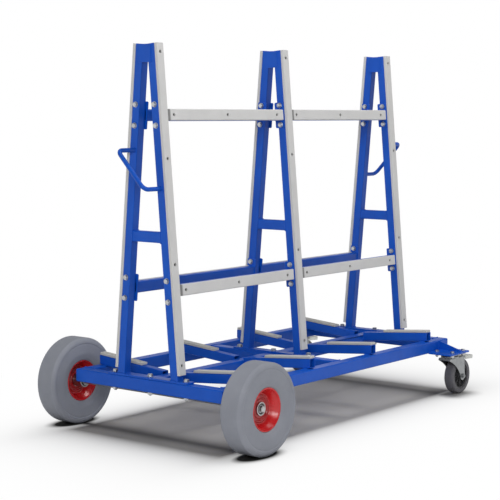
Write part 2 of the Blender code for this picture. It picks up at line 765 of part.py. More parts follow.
def handles():
    """A bent tube on each end A-frame: its high leg on one post, its low leg on the other."""
    start = POST_WIDTH / 2 + FIT
    grip = POST_WIDTH / 2 + HANDLE_REACH
    post_middle = POST_DEPTH / 2
    high_y = -(face_reach(HANDLE_HIGH) - post_middle - HANDLE_INSET)
    low_y = face_reach(HANDLE_LOW) - post_middle
    corners = [(start, high_y, HANDLE_HIGH), (grip, high_y, HANDLE_HIGH),
               (grip, low_y, HANDLE_LOW), (start, low_y, HANDLE_LOW)]
    tube = tube_along(rounded_path(corners, HANDLE_BEND, HANDLE_BEND_STEPS), HANDLE_RADIUS)
    node(tube, "handle_caster_end", BLUE)
    tube.location = (FRAME_PITCH, 0, 0)
    other = another(tube, "handle_wheel_end")
    other.location = (-FRAME_PITCH, 0, 0)
    other.rotation_euler = (0, 0, math.pi)


# Wheels

def flat_radius(radius, steps):
    """The corner radius that lets a many-sided wheel stand on a flat at its true radius."""
    return radius / math.cos(math.pi / steps)


def hub_reach():
    """The hub's outer end, from the centre line of the buggy."""
    return WHEEL_TRACK / 2 + HUB_OUTER_REACH


def axle():
    """The fixed axle with its inner collars, outer washers and nuts."""
    inner = WHEEL_TRACK / 2 - HUB_INNER_REACH - SPIN_GAP
    washer = hub_reach() - HUB_RECESS_DEPTH + SPIN_GAP
    nut = washer + WASHER_THICK
    end = nut + NUT_THICK + AXLE_END
    shaft = rod(AXLE_RADIUS, (0, -end, 0), (0, end, 0), HUB_STEPS)
    extras = []
    for side in (NEAR, FAR):
        extras.append(rod(COLLAR_RADIUS, (0, side * (inner - COLLAR_THICK), 0), (0, side * inner, 0),
                          HUB_STEPS))
        extras.append(rod(COLLAR_RADIUS, (0, side * washer, 0), (0, side * nut, 0), HUB_STEPS))
        extras.append(rod(NUT_RADIUS, (0, side * (nut - WELD), 0), (0, side * (nut + NUT_THICK), 0),
                          NUT_SIDES))
    body = node(joined([shaft] + extras), "axle", ZINC)
    body.location = (AXLE_X, 0, TYRE_RADIUS)


def rim_section():
    """Half the rim's section as pairs of radius and height, from the hub to its outer edge."""
    half = RIM_WIDTH / 2
    seat = HUB_RADIUS + FIT
    dish = [(seat + (RIM_RADIUS - seat) * out, half * up) for out, up in RIM_DISH_SHARES]
    return dish + [(RIM_RADIUS - RIM_SHEET, half)]


def wheel_place(side):
    """A wheel's middle, with its own height axis pointing away from the buggy."""
    return (Matrix.Translation((AXLE_X, side * WHEEL_TRACK / 2, TYRE_RADIUS))
            @ Matrix.Rotation(-side * math.pi / 2, 4, "X"))


def rim_wells():
    """The rim's outer side, under the tyre: radius and height from edge to middle."""
    half = RIM_WIDTH / 2
    out, up = RIM_WELL_SHARES
    well = HUB_RADIUS + (RIM_RADIUS - HUB_RADIUS) * out
    return [(RIM_RADIUS, half), (well + RIM_SHEET, half * up)]


def wheels():
    """A pressed rim, a bearing hub and a foam-filled tyre on each side."""
    dish = rim_section()
    well = rim_wells()
    rim_outer = well + [(radius, -height) for radius, height in reversed(well)]
    rim_inner = [(radius, -height) for radius, height in reversed(dish)] + dish
    rim = turned(rim_outer + rim_inner, RIM_STEPS)
    half_turn = math.pi / TYRE_STEPS

    tyre_seat = [(radius + FIT, -height) for radius, height in well]
    tyre_seat += [(radius, -height) for radius, height in reversed(tyre_seat)]
    flats = flat_radius(1, TYRE_STEPS)
    section = [(radius * flats, height) for radius, height in tyre_profile() + tyre_seat]
    tyre = turned(section, TYRE_STEPS)
    tyre.data.transform(Matrix.Rotation(half_turn, 4, "Z"))

    hub = turned(hub_profile(), HUB_STEPS)
    for shape, name, finish in ((rim, "rim", RED), (tyre, "tyre", TYRE), (hub, "hub", ZINC)):
        node(shape, f"{name}_near", finish)
        shape.matrix_world = wheel_place(NEAR)
        another(shape, f"{name}_far").matrix_world = wheel_place(FAR)


def tyre_profile():
    """The tyre's outer side, from its outer bead over the tread to its inner bead."""
    half = TYRE_WIDTH / 2
    wall = TYRE_RADIUS - RIM_RADIUS
    half_points = [(RIM_RADIUS + TYRE_BEAD, RIM_WIDTH / 2 + FIT)]
    half_points += [(RIM_RADIUS + wall * out, half * up) for out, up in TYRE_SHARES]
    return half_points + [(radius, -height) for radius, height in reversed(half_points)]


def hub_profile():
    """The hub's section: a recess at its outer end and a bore for the axle."""
    bore = AXLE_RADIUS + SPIN_GAP
    floor = HUB_OUTER_REACH - HUB_RECESS_DEPTH
    return [
        (HUB_RADIUS, HUB_OUTER_REACH),
        (HUB_RADIUS, -HUB_INNER_REACH),
        (bore, -HUB_INNER_REACH),
        (bore, floor),
        (HUB_RECESS_RADIUS, floor),
        (HUB_RECESS_RADIUS, HUB_OUTER_REACH),
    ]


# Casters, each about its swivel axis on the ground, with its trail towards +X

def caster_plate():
    """The top plate with the fixed race and the king pin below it."""
    top = BASE_BOTTOM - FIT
    race_top = top - CASTER_PLATE_THICK
    race_bottom = race_top - RACE_HEIGHT
    flat = bar((CASTER_PLATE_LENGTH, CASTER_PLATE_WIDTH, CASTER_PLATE_THICK),
               (0, 0, top - CASTER_PLATE_THICK / 2), CASTER_PLATE_CORNER, "Z")
    race = rod(RACE_RADIUS, (0, 0, race_bottom), (0, 0, race_top + WELD), RACE_STEPS)
    head_top = CROWN_TOP - FORK_SHEET - FIT
    head_bottom = head_top - KING_PIN_HEAD_THICK
    pin = rod(KING_PIN_RADIUS, (0, 0, head_bottom), (0, 0, race_bottom + WELD))
    head = rod(KING_PIN_HEAD_RADIUS, (0, 0, head_bottom), (0, 0, head_top))
    holes = [rod(CASTER_BOLT_HOLE, (x, y, race_top - OVERRUN), (x, y, top + OVERRUN), HOLE_SIDES)
             for x, y in caster_bolt_places()]
    return joined([flat, race, pin, head], holes)


def fork_channel():
    """The fork's sheet, folded into an arch over the wheel."""
    half = FORK_GAP / 2 + FORK_SHEET
    low = CASTER_RADIUS - FORK_EYE - OVERRUN
    bend = CROWN_TOP - FORK_BEND
    profile = [(-half, low)]
    profile += arc((FORK_BEND - half, bend), FORK_BEND, 180, 90, FORK_BEND_STEPS)
    profile += arc((half - FORK_BEND, bend), FORK_BEND, 90, 0, FORK_BEND_STEPS)
    profile.append((half, low))
    front = -FORK_FRONT - OVERRUN
    back = TRAIL + FORK_EYE + OVERRUN
    place = Matrix.Translation(((front + back) / 2, 0, 0)) @ Matrix.Rotation(-math.pi / 2, 4, "Z")
    return folded_sheet(profile, back - front, FORK_SHEET, place)


def fork_outline():
    """The fork seen from its side: a swept leading edge, an eye for the axle and a lug."""
    high = CROWN_TOP + OVERRUN
    shoulder = CROWN_TOP - FORK_SHEET - FORK_BEND
    eye = (TRAIL, CASTER_RADIUS)
    front = (-FORK_FRONT, shoulder)
    eye_front = (TRAIL - FORK_EYE, CASTER_RADIUS)
    width_share, height_share = FORK_CURVE_PULL_SHARES
    pull = (eye_front[0] - (eye_front[0] - front[0]) * width_share,
            eye_front[1] + (front[1] - eye_front[1]) * height_share)
    outline = [(-FORK_FRONT, high)]
    outline += pulled_curve(front, pull, eye_front, FORK_CURVE_STEPS)
    outline += arc(eye, FORK_EYE, 180, 360, 2 * FORK_CURVE_STEPS)[1:]
    outline += arc((FORK_BACK, PEDAL_PIN_HEIGHT), PEDAL_LUG_RADIUS, -PEDAL_LUG_TURN,
                   PEDAL_LUG_TURN, FORK_CURVE_STEPS)
    outline.append((FORK_BACK - PEDAL_LUG_RADIUS, high))
    return outline


def fork_apron():
    """The strip of sheet that turns down from the crown's front edge and joins the arms."""
    top = CROWN_TOP - FORK_SHEET / 2
    bottom = CROWN_TOP - FORK_SHEET - FORK_BEND
    return bar((FORK_SHEET, FORK_GAP + 2 * WELD, top - bottom),
               (FORK_SHEET / 2 - FORK_FRONT, 0, (top + bottom) / 2))


def pedal_notch():
    """The cutter that opens the crown over the pedal's barrel, between the arms."""
    start = FORK_BACK - PEDAL_BARREL_RADIUS - PEDAL_SIDE_GAP
    end = FORK_BACK + PEDAL_LUG_RADIUS + OVERRUN
    bottom = PEDAL_PIN_HEIGHT - PEDAL_BARREL_RADIUS
    top = CROWN_TOP + OVERRUN
    return bar((end - start, FORK_GAP, top - bottom), ((start + end) / 2, 0, (bottom + top) / 2))


def caster_fork():
    """The swept fork with its raceway, the wheel's axle and nuts, and the pedal's pin."""
    half = FORK_GAP / 2 + FORK_SHEET
    upright = Matrix.Rotation(math.pi / 2, 4, "X")
    silhouette = plate(fork_outline(), 2 * half + OVERRUN, upright)
    shell = joined([combine(fork_channel(), silhouette, "INTERSECT"), fork_apron()], [pedal_notch()])
    dish = rod(DISH_RADIUS, (0, 0, CROWN_TOP - WELD), (0, 0, CROWN_TOP + DISH_HEIGHT), RACE_STEPS)
    eye = Vector((TRAIL, 0, CASTER_RADIUS))
    out = Vector((0, half, 0))
    nut = Vector((0, CASTER_NUT_THICK, 0))
    wall = Vector((0, WELD, 0))
    solids = [shell, dish, rod(CASTER_AXLE_RADIUS, eye - out - nut - wall, eye + out + nut + wall)]
    for side in (-1, 1):
        solids.append(rod(CASTER_NUT_RADIUS, eye + side * (out - wall), eye + side * (out + nut),
                          NUT_SIDES))
    pin = Vector((FORK_BACK, 0, PEDAL_PIN_HEIGHT))
    solids.append(rod(PEDAL_PIN_RADIUS, pin - out - wall, pin + out + wall))
    bore = rod(KING_PIN_RADIUS + SPIN_GAP, (0, 0, CROWN_TOP - FORK_SHEET - OVERRUN),
               (0, 0, CROWN_TOP + DISH_HEIGHT + OVERRUN))
    return joined(solids, [bore])


def caster_tyre():
    """A crowned tread ring, standing on one of its flats."""
    half = CASTER_WIDTH / 2
    crown = half - CASTER_SHOULDER
    inner = CORE_RADIUS + FIT
    shoulder = [(CASTER_RADIUS - CASTER_SHOULDER + x, crown + y)
                for x, y in arc((0, 0), CASTER_SHOULDER, 90, 0, CASTER_SHOULDER_STEPS)]
    outer = shoulder + [(radius, -height) for radius, height in reversed(shoulder)]
    scale = flat_radius(1, CASTER_STEPS)
    ring = turned([(radius * scale, height) for radius, height in outer]
                  + [(inner * scale, -half), (inner * scale, half)], CASTER_STEPS)
    ring.data.transform(Matrix.Rotation(math.pi / CASTER_STEPS, 4, "Z"))
    return ring


def caster_core():
    """The wheel's centre: a rim and a hub joined by a thin web, with a bore for the axle."""
    bore = CASTER_AXLE_RADIUS + SPIN_GAP
    rim_inner = CORE_RADIUS - CORE_RIM
    half = [
        (CORE_RADIUS, CORE_WIDTH / 2),
        (rim_inner, CORE_WIDTH / 2),
        (rim_inner, CORE_WEB / 2),
        (CORE_HUB_RADIUS, CORE_WEB / 2),
        (CORE_HUB_RADIUS, CORE_HUB_WIDTH / 2),
        (bore, CORE_HUB_WIDTH / 2),
    ]
    profile = [(radius, -height) for radius, height in half] + half[::-1]
    return turned(profile, CORE_STEPS)


def pedal_outline(inset):
    """The pedal from above: straight sides and a rounded tip, set in by a wall where asked."""
    start = PEDAL_NECK
    if inset:
        start -= OVERRUN
    side = PEDAL_WIDTH / 2 - inset
    corner = PEDAL_CORNER - inset
    middle = PEDAL_REACH - PEDAL_CORNER
    near_tip = arc((middle, corner - side), corner, -90, 0, PEDAL_CORNER_STEPS)
    far_tip = arc((middle, side - corner), corner, 0, 90, PEDAL_CORNER_STEPS)
    return [(start, -side)] + near_tip + far_tip + [(start, side)]


def caster_brake():
    """The brake pedal about its pin: a barrel, a neck between the arms and a hollow tread."""
    tilt = Matrix.Rotation(math.atan(PEDAL_FALL / PEDAL_REACH), 4, "Y")
    top = tilt @ Matrix.Translation((0, 0, PEDAL_RISE))
    barrel_half = FORK_GAP / 2 - PEDAL_SIDE_GAP
    lap = -PEDAL_SHEET / 2
    neck = folded_sheet([(0, lap), (PEDAL_NECK + PEDAL_CORNER / 2, lap)], 2 * (barrel_half - WELD),
                        PEDAL_SHEET, top)
    tread = plate(pedal_outline(0), PEDAL_DEPTH, top @ Matrix.Translation((0, 0, -PEDAL_DEPTH / 2)))
    drop = -PEDAL_SHEET - PEDAL_DEPTH / 2
    hollow = plate(pedal_outline(PEDAL_SHEET), PEDAL_DEPTH, top @ Matrix.Translation((0, 0, drop)))
    tread = combine(tread, hollow, "DIFFERENCE")
    side = Vector((0, barrel_half, 0))
    barrel = rod(PEDAL_BARREL_RADIUS, -side, side)
    run = side + Vector((0, OVERRUN, 0))
    pin_bore = rod(PEDAL_PIN_RADIUS + SPIN_GAP, -run, run)
    return joined([barrel, neck, tread], [pin_bore])


def casters():
    """Both casters, each carried by guides on its swivel, axle and pedal axes."""
    wheel_turn = Matrix.Rotation(math.pi / 2, 4, "X")
    shapes = {
        "plate": (caster_plate(), ZINC, Matrix()),
        "fork": (caster_fork(), ZINC, Matrix()),
        "tyre": (caster_tyre(), DARK_RUBBER, Matrix.Translation((TRAIL, 0, CASTER_RADIUS)) @ wheel_turn),
        "core": (caster_core(), DARK_PLASTIC, Matrix.Translation((TRAIL, 0, CASTER_RADIUS)) @ wheel_turn),
        "brake": (caster_brake(), PEDAL_GREY, Matrix.Translation((FORK_BACK, 0, PEDAL_PIN_HEIGHT))),
    }
    for side in (NEAR, FAR):
        side_name = SIDE_NAMES[side]
        swivel = guide(f"swivel_{side_name}", Matrix.Translation((CASTER_X, side * CASTER_Y, 0)))
        for piece, (shape, finish, place) in shapes.items():
            name = f"caster_{piece}_{side_name}"
            part = node(shape, name, finish) if side == NEAR else another(shape, name)
            part.parent = swivel
            part.matrix_local = place


cross_tubes()
side_rail(NEAR)
side_rail(FAR)
spines()
pads()
a_frames()
slab_face_parts()
handles()
axle()
wheels()
casters()
bpy.context.view_layer.update()
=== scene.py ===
"""Dresses the slab buggy: painted tubes, rubber facings, wheels, casters and fasteners.

Metres, +Z up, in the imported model's frame. X runs from the wheel end to the caster end, and the
near side is at -Y.
"""
import math

import bmesh
import bpy
from mathutils import Matrix, Vector


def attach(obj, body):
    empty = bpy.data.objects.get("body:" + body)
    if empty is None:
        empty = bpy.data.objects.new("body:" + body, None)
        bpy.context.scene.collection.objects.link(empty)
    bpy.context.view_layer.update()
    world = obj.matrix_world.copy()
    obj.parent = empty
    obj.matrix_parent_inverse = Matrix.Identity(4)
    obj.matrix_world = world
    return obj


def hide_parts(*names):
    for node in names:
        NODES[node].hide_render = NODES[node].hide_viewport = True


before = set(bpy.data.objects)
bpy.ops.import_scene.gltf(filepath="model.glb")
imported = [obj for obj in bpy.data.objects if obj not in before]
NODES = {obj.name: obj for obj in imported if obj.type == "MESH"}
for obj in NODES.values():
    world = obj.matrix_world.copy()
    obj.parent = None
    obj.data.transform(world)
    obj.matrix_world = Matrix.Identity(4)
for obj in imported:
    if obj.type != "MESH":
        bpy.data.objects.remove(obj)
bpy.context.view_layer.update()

NEAR, FAR = -1, 1
SIDES = {"near": NEAR, "far": FAR}

# Sizes that the solids share
FRAME_PITCH = 0.889
FRAME_PLACES = (-FRAME_PITCH, 0, FRAME_PITCH)
LEAN = math.radians(4.915)
FRAME_TOP = 1.7347
TOP_SPREAD = 0.1054
POST_WIDTH, POST_DEPTH = 0.042, 0.0413
FOOT_TOP = 0.2858
CROSSBAR_LOW, CROSSBAR_HIGH = 0.878, 0.925
CROSSBAR_WIDTH = 0.041
TOP_PLATE_EDGE = 0.0365
TOP_PLATE_LOW, TOP_PLATE_HIGH = 1.6540, 1.7300
STRIP_THICK = 0.0155
STRIP_FOOT = 0.310
UPPER_RAIL, LOWER_RAIL = 1.4295, 0.6730
RAIL_DEPTH, RAIL_HEIGHT = 0.030, 0.050
PLATE_THICK = 0.006
RAIL_BOLT_REACH = 0.0455
FOOT_BOLT_REACH = 0.210
HANDLE_HIGH, HANDLE_LOW = 1.276, 1.113
HANDLE_OUT, HANDLE_INSET = 0.1035, 0.005
HANDLE_RADIUS, HANDLE_BEND = 0.0098, 0.028
BASE_TUBE = 0.058
BASE_TOP, BASE_BOTTOM = 0.2775, 0.2195
BASE_HALF_WIDTH = 0.4328
BASE_INNER = BASE_HALF_WIDTH - BASE_TUBE
BEARER_X = (-0.758, -0.250, 0.250, 0.758)
BEARER_REACH = 0.415
BEARER_DEPTH = 0.043
PAD_START = 0.153
PAD_WIDTH, PAD_THICK = 0.038, 0.012
BRACKET_TOP = 0.2275
BRACKET_START, BRACKET_END = 0.728, 0.916
AXLE_X = -0.810
WHEEL_RADIUS = 0.200
WHEEL_PLANE = 0.5423
HUB_OUT, HUB_IN = 0.0152, 0.0623
CASTER_X, CASTER_Y = 0.836, 0.4955
TRAIL = 0.075
CASTER_RADIUS = 0.092
CASTER_BOLTS = (0.052, 0.045)
CASTER_PLATE = 0.006
CROWN_TOP = 0.1976
FORK_GAP, FORK_SHEET = 0.058, 0.0045
FORK_HALF = FORK_GAP / 2 + FORK_SHEET
FORK_BEND = 0.009
FORK_FRONT, FORK_BACK = 0.056, 0.088
PEDAL_PIN_HEIGHT = 0.1896
FIT = 0.0003

QUARTER = math.pi / 2
FLOAT, VECTOR = "NodeSocketFloat", "NodeSocketVector"
SHAPE, FINISH = "NodeSocketGeometry", "NodeSocketMaterial"
shift = Matrix.Translation


def turn(angle, axis):
    return Matrix.Rotation(angle, 4, axis)


# Nodes

def feed(tree, socket, value):
    """Fills an input with a value, or links it to another node's socket."""
    if isinstance(value, bpy.types.NodeSocket):
        tree.links.new(value, socket)
    else:
        socket.default_value = value


def add_node(tree, kind, settings=None, **values):
    """A node with its settings, and its named inputs filled."""
    made = tree.nodes.new(kind)
    for key, value in (settings or {}).items():
        setattr(made, key, value)
    for key, value in values.items():
        feed(tree, made.inputs[key.replace("_", " ")], value)
    return made


def node_in_order(tree, kind, settings, *values):
    """A node with its settings, and its inputs filled from the first one on."""
    made = add_node(tree, kind, settings)
    for socket, value in zip(made.inputs, values):
        feed(tree, socket, value)
    return made


def new_group(name, kind, inputs, outputs):
    """A node tree, with the sockets of its input node and of its output node by name."""
    group = bpy.data.node_groups.new(name, kind)
    for socket, socket_type, value in inputs:
        made = group.interface.new_socket(socket, in_out="INPUT", socket_type=socket_type)
        if value is not None:
            made.default_value = value
    for socket, socket_type in outputs:
        group.interface.new_socket(socket, in_out="OUTPUT", socket_type=socket_type)
    return group, group.nodes.new("NodeGroupInput").outputs, group.nodes.new("NodeGroupOutput").inputs


def maths(tree, operation, *values):
    return node_in_order(tree, "ShaderNodeMath", {"operation": operation}, *values).outputs["Value"]


def vector_maths(tree, operation, *values):
    return node_in_order(tree, "ShaderNodeVectorMath", {"operation": operation}, *values).outputs


def remap(tree, value, low, high, to_low=0.0, to_high=1.0):
    """Moves a value from one range to another, and stops it at the new range's ends."""
    made = add_node(tree, "ShaderNodeMapRange", Value=value, From_Min=low, From_Max=high,
                    To_Min=to_low, To_Max=to_high)
    return made.outputs["Result"]


def noise(tree, place, scale, detail=2.0, roughness=0.5):
    made = add_node(tree, "ShaderNodeTexNoise", Vector=place, Scale=scale, Detail=detail,
                    Roughness=roughness)
    return made.outputs["Fac"]


def axes(tree, vector):
    """A vector's parts by name."""
    return add_node(tree, "ShaderNodeSeparateXYZ", Vector=vector).outputs


def on_object(tree):
    """A point's place on its piece."""
    return tree.nodes.new("ShaderNodeTexCoord").outputs["Object"]


def facing(tree):
    """The parts of the direction that a surface faces."""
    return axes(tree, tree.nodes.new("ShaderNodeNewGeometry").outputs["Normal"])


# Shader node groups

def shader_group(name, output, **inputs):
    """A shader group with its inputs' names and values, and one output."""
    sockets = [(key.replace("_", " "), VECTOR if isinstance(value, tuple) else FLOAT, value)
               for key, value in inputs.items()]
    return new_group(name, "ShaderNodeTree", sockets, [(output, FLOAT)])


def ended(group, result, value):
    """Gives a group its output."""
    feed(group, result[0], value)
    return group


def masked(group, given, result, *shares):
    """Gives a group its mask: its shares and its amount, multiplied together."""
    mask = given["Amount"]
    for share in shares:
        mask = maths(group, "MULTIPLY", mask, share)
    return ended(group, result, mask)


def tone_drift_group():
    """Slow change of tone over a surface, between a low and a high value."""
    group, given, result = shader_group("tone_drift", "Tone", Scale=3.0, Low=0.0, High=1.0)
    cloud = noise(group, on_object(group), given["Scale"], 5.0, 0.6)
    return ended(group, result, remap(group, cloud, 0.3, 0.7, given["Low"], given["High"]))


def fine_grain_group():
    """Small even relief, such as orange peel in paint or the skin of moulded rubber."""
    group, given, result = shader_group("fine_grain", "Height", Scale=400.0)
    return ended(group, result, noise(group, on_object(group), given["Scale"]))


def scuff_group():
    """Thin rubbed marks that lie in patches."""
    group, given, result = shader_group("scuff_marks", "Mask", Scale=30.0, Stretch=(1.0, 1.0, 1.0),
                                        Amount=0.2)
    place = on_object(group)
    spread = add_node(group, "ShaderNodeMapping", Vector=place, Scale=given["Stretch"]).outputs["Vector"]
    streaks = remap(group, noise(group, spread, given["Scale"], 6.0, 0.7), 0.60, 0.72)
    patches = remap(group, noise(group, place, 4.0), 0.45, 0.65)
    return masked(group, given, result, streaks, patches)


def settled_dust_group():
    """Dust that lies on what faces up, and thins out above a height."""
    group, given, result = shader_group("settled_dust", "Mask", Amount=0.2, Top=0.5)
    place = on_object(group)
    up = remap(group, facing(group)["Z"], 0.2, 1.0)
    low = remap(group, axes(group, place)["Z"], 0.0, given["Top"], 1.0, 0.25)
    cloud = remap(group, noise(group, place, 14.0, 6.0, 0.65), 0.35, 0.75)
    return masked(group, given, result, up, low, cloud)


def underneath_group():
    """Full inside a rectangle about a middle point, and fading away from its edges."""
    group, given, result = shader_group(
        "underneath", "Mask", Half_Length=1.0, Half_Width=0.5, Fade_Along=0.2, Fade_Across=0.2,
        Fullness=0.5, Middle=(0.0, 0.0, 0.0))
    moved = vector_maths(group, "SUBTRACT", on_object(group), given["Middle"])["Vector"]
    from_middle = axes(group, moved)
    squares = []
    for axis, half, fade in (("X", "Half Length", "Fade Along"), ("Y", "Half Width", "Fade Across")):
        past = maths(group, "SUBTRACT", maths(group, "ABSOLUTE", from_middle[axis]), given[half])
        share = maths(group, "DIVIDE", maths(group, "MAXIMUM", past, 0.0), given[fade])
        squares.append(maths(group, "POWER", share, 2.0))
    away = maths(group, "POWER", maths(group, "ADD", *squares), given["Fullness"])
    return ended(group, result, maths(group, "EXPONENT", maths(group, "MULTIPLY", away, -1.0)))


def post_strip_shadow_group():
    """Painted shadow of the post strip, at the wheel end of each rail strip in the corner beside it."""
    group, given, result = shader_group("post_strip_shadow", "Mask", Amount=0.8)
    along = maths(group, "ADD", axes(group, on_object(group))["X"], FRAME_PITCH)
    from_post = maths(group, "MODULO", along, FRAME_PITCH)
    return masked(group, given, result, remap(group, from_post, 0.050, 0.058, 1.0, 0.0))


def dish_shade_group():
    """Painted shade in the rims' dishes, by the distance from the wheels' axis."""
    group, given, result = shader_group("dish_shade", "Mask", Inner=0.058, Outer=0.072, Amount=0.5)
    moved = vector_maths(group, "SUBTRACT", on_object(group), (AXLE_X, 0, WHEEL_RADIUS))["Vector"]
    flat = vector_maths(group, "MULTIPLY", moved, (1, 0, 1))["Vector"]
    away = vector_maths(group, "LENGTH", flat)["Value"]
    return masked(group, given, result, remap(group, away, given["Inner"], given["Outer"], 1.0, 0.0))


def inner_shade_group():
    """Painted shade on faces that look in towards the buggy's middle, most where its two sides are close.
    """
    group, given, result = shader_group("inner_shade", "Mask", Reach=0.6, Amount=0.5)
    across = axes(group, on_object(group))["Y"]
    outward = maths(group, "MULTIPLY", facing(group)["Y"], maths(group, "SIGN", across))
    inward = remap(group, outward, -0.2, -0.9)
    close = remap(group, maths(group, "ABSOLUTE", across), 0.0, given["Reach"], 1.0, 0.2)
    return masked(group, given, result, inward, close)


TONE_DRIFT = tone_drift_group()
FINE_GRAIN = fine_grain_group()
SCUFFS = scuff_group()
DUST = settled_dust_group()
UNDERNEATH = underneath_group()
POST_STRIP_SHADOW = post_strip_shadow_group()
DISH_SHADE = dish_shade_group()
INNER_SHADE = inner_shade_group()


# Materials

def new_material(name):
    """A material with its tree and its Principled shader."""
    made = bpy.data.materials.new(name)
    made.use_nodes = True
    tree = made.node_tree
    return made, tree, tree.nodes["Principled BSDF"]


def use_group(tree, group, **values):
    """Places a shader group in a material, and gives its output."""
    return add_node(tree, "ShaderNodeGroup", {"node_tree": group}, **values).outputs[0]


def mix_colour(tree, amount, first, second):
    """Mixes two colours, each a value or a socket, by an amount."""
    mixed = add_node(tree, "ShaderNodeMix", {"data_type": "RGBA"})
    for socket, value in (("Factor_Float", amount), ("A_Color", first), ("B_Color", second)):
        target = next(item for item in mixed.inputs if item.identifier == socket)
        feed(tree, target, (*value, 1.0) if isinstance(value, tuple) else value)
    return next(item for item in mixed.outputs if item.identifier == "Result_Color")


def darkened(colour, share):
    return tuple(channel * share for channel in colour)


def finish_surface(tree, shader, colour, roughness, grain, relief):
    """Feeds a colour, a cloudy roughness (scale, low, high) and a fine relief (strength, depth)."""
    scale, low, high = roughness
    strength, depth = relief
    feed(tree, shader.inputs["Base Color"], colour)
    feed(tree, shader.inputs["Roughness"], use_group(tree, TONE_DRIFT, Scale=scale, Low=low, High=high))
    height = use_group(tree, FINE_GRAIN, Scale=grain)
    raised = add_node(tree, "ShaderNodeBump", Height=height, Strength=strength, Distance=depth)
    feed(tree, shader.inputs["Normal"], raised.outputs["Normal"])


def powder_paint(name, deep, light, roughness, shine, inner=0.0, dish=0.0):
    """Powder coat: orange peel, tone drift, scuffs and dust, with painted shade on inner faces or in
    dishes.
    """
    made, tree, shader = new_material(name)
    paint = mix_colour(tree, use_group(tree, TONE_DRIFT, Scale=5.0), deep, light)
    rubbed = use_group(tree, SCUFFS, Scale=26.0, Stretch=(1.0, 1.0, 3.5), Amount=0.12)
    worn = mix_colour(tree, rubbed, paint, tuple(min(1.0, c * 1.5 + 0.03) for c in light))
    # Painted shade on the faces that look inwards.
    if inner:
        worn = mix_colour(tree, use_group(tree, INNER_SHADE, Amount=inner), worn, darkened(deep, 0.15))
    # Painted shade in the rims' dishes.
    if dish:
        worn = mix_colour(tree, use_group(tree, DISH_SHADE, Amount=dish), worn, darkened(deep, 0.4))
    lying = use_group(tree, DUST, Amount=0.03, Top=0.45)
    finish_surface(tree, shader, mix_colour(tree, lying, worn, (0.36, 0.37, 0.38)),
                   (18.0, roughness - 0.05, roughness + 0.07), 330.0, (0.25, 0.0004))
    shader.inputs["Specular IOR Level"].default_value = shine
    return made


def moulded_rubber(name, pale, dark, roughness, grain, drift, strip_end_shadow=0.0):
    """Moulded rubber or plastic: a fine skin, slow tone drift and darker rubbed marks."""
    made, tree, shader = new_material(name)
    skin = mix_colour(tree, use_group(tree, TONE_DRIFT, Scale=drift), pale, dark)
    rubbed = use_group(tree, SCUFFS, Scale=18.0, Stretch=(1.0, 1.0, 2.5), Amount=0.30)
    worn = mix_colour(tree, rubbed, skin, darkened(dark, 0.72))
    # Where asked, a painted shadow of the post strip darkens the rail strip's wheel end.
    if strip_end_shadow:
        worn = mix_colour(tree, use_group(tree, POST_STRIP_SHADOW, Amount=strip_end_shadow), worn, darkened(dark, 0.2))
    finish_surface(tree, shader, worn, (30.0, roughness - 0.06, roughness + 0.06), grain, (0.35, 0.0005))
    shader.inputs["Specular IOR Level"].default_value = 0.35
    return made


def plated_steel(name, pale, dark, roughness):
    """Plated steel: a cloudy metal with fine drawn lines."""
    made, tree, shader = new_material(name)
    plate = mix_colour(tree, use_group(tree, TONE_DRIFT, Scale=45.0), pale, dark)
    rubbed = use_group(tree, SCUFFS, Scale=60.0, Stretch=(1.0, 2.0, 1.0), Amount=0.35)
    finish_surface(tree, shader, mix_colour(tree, rubbed, plate, darkened(dark, 0.6)),
                   (70.0, roughness - 0.08, roughness + 0.10), 700.0, (0.15, 0.0003))
    shader.inputs["Metallic"].default_value = 1.0
    return made


BLUE_PAINT = powder_paint("blue_paint", (0.0025, 0.078, 0.480), (0.0040, 0.098, 0.570), roughness=0.38,
                          shine=0.24, inner=0.3)
RED_PAINT = powder_paint("red_paint", (0.520, 0.006, 0.009), (0.680, 0.011, 0.014), roughness=0.24,
                         shine=0.60, dish=0.6)
STRIP_RUBBER = moulded_rubber("strip_rubber", (0.650, 0.646, 0.640), (0.602, 0.599, 0.594),
                              roughness=0.72, grain=520.0, drift=6.0)
# The rail strips carry the post strips' painted shadow at their wheel ends.
RAIL_RUBBER = moulded_rubber("rail_rubber", (0.660, 0.656, 0.650), (0.612, 0.609, 0.604),
                             roughness=0.72, grain=520.0, drift=6.0, strip_end_shadow=0.8)
PAD_RUBBER = moulded_rubber("pad_rubber", (0.590, 0.580, 0.545), (0.530, 0.522, 0.490),
                            roughness=0.72, grain=520.0, drift=8.0)
TYRE_FOAM = moulded_rubber("tyre_foam", (0.290, 0.303, 0.345), (0.250, 0.263, 0.302),
                           roughness=0.66, grain=420.0, drift=7.0)
CASTER_RUBBER = moulded_rubber("caster_rubber", (0.122, 0.119, 0.132), (0.098, 0.096, 0.108),
                               roughness=0.55, grain=600.0, drift=14.0)
CORE_PLASTIC = moulded_rubber("core_plastic", (0.050, 0.050, 0.054), (0.038, 0.038, 0.042),
                              roughness=0.45, grain=800.0, drift=20.0)
SEAL_RUBBER = moulded_rubber("seal_rubber", (0.018, 0.018, 0.020), (0.012, 0.012, 0.013),
                             roughness=0.50, grain=900.0, drift=30.0)
SCREW_STEEL = plated_steel("screw_steel", (0.040, 0.041, 0.041), (0.024, 0.025, 0.026),
                           roughness=0.42)
ZINC = plated_steel("zinc", (0.330, 0.340, 0.345), (0.250, 0.260, 0.268), roughness=0.36)
BRIGHT_ZINC = plated_steel("bright_zinc", (0.540, 0.550, 0.555), (0.410, 0.420, 0.430),
                           roughness=0.32)
PEDAL_STEEL = plated_steel("pedal_steel", (0.560, 0.570, 0.545), (0.470, 0.480, 0.460),
                           roughness=0.40)


# Shapes

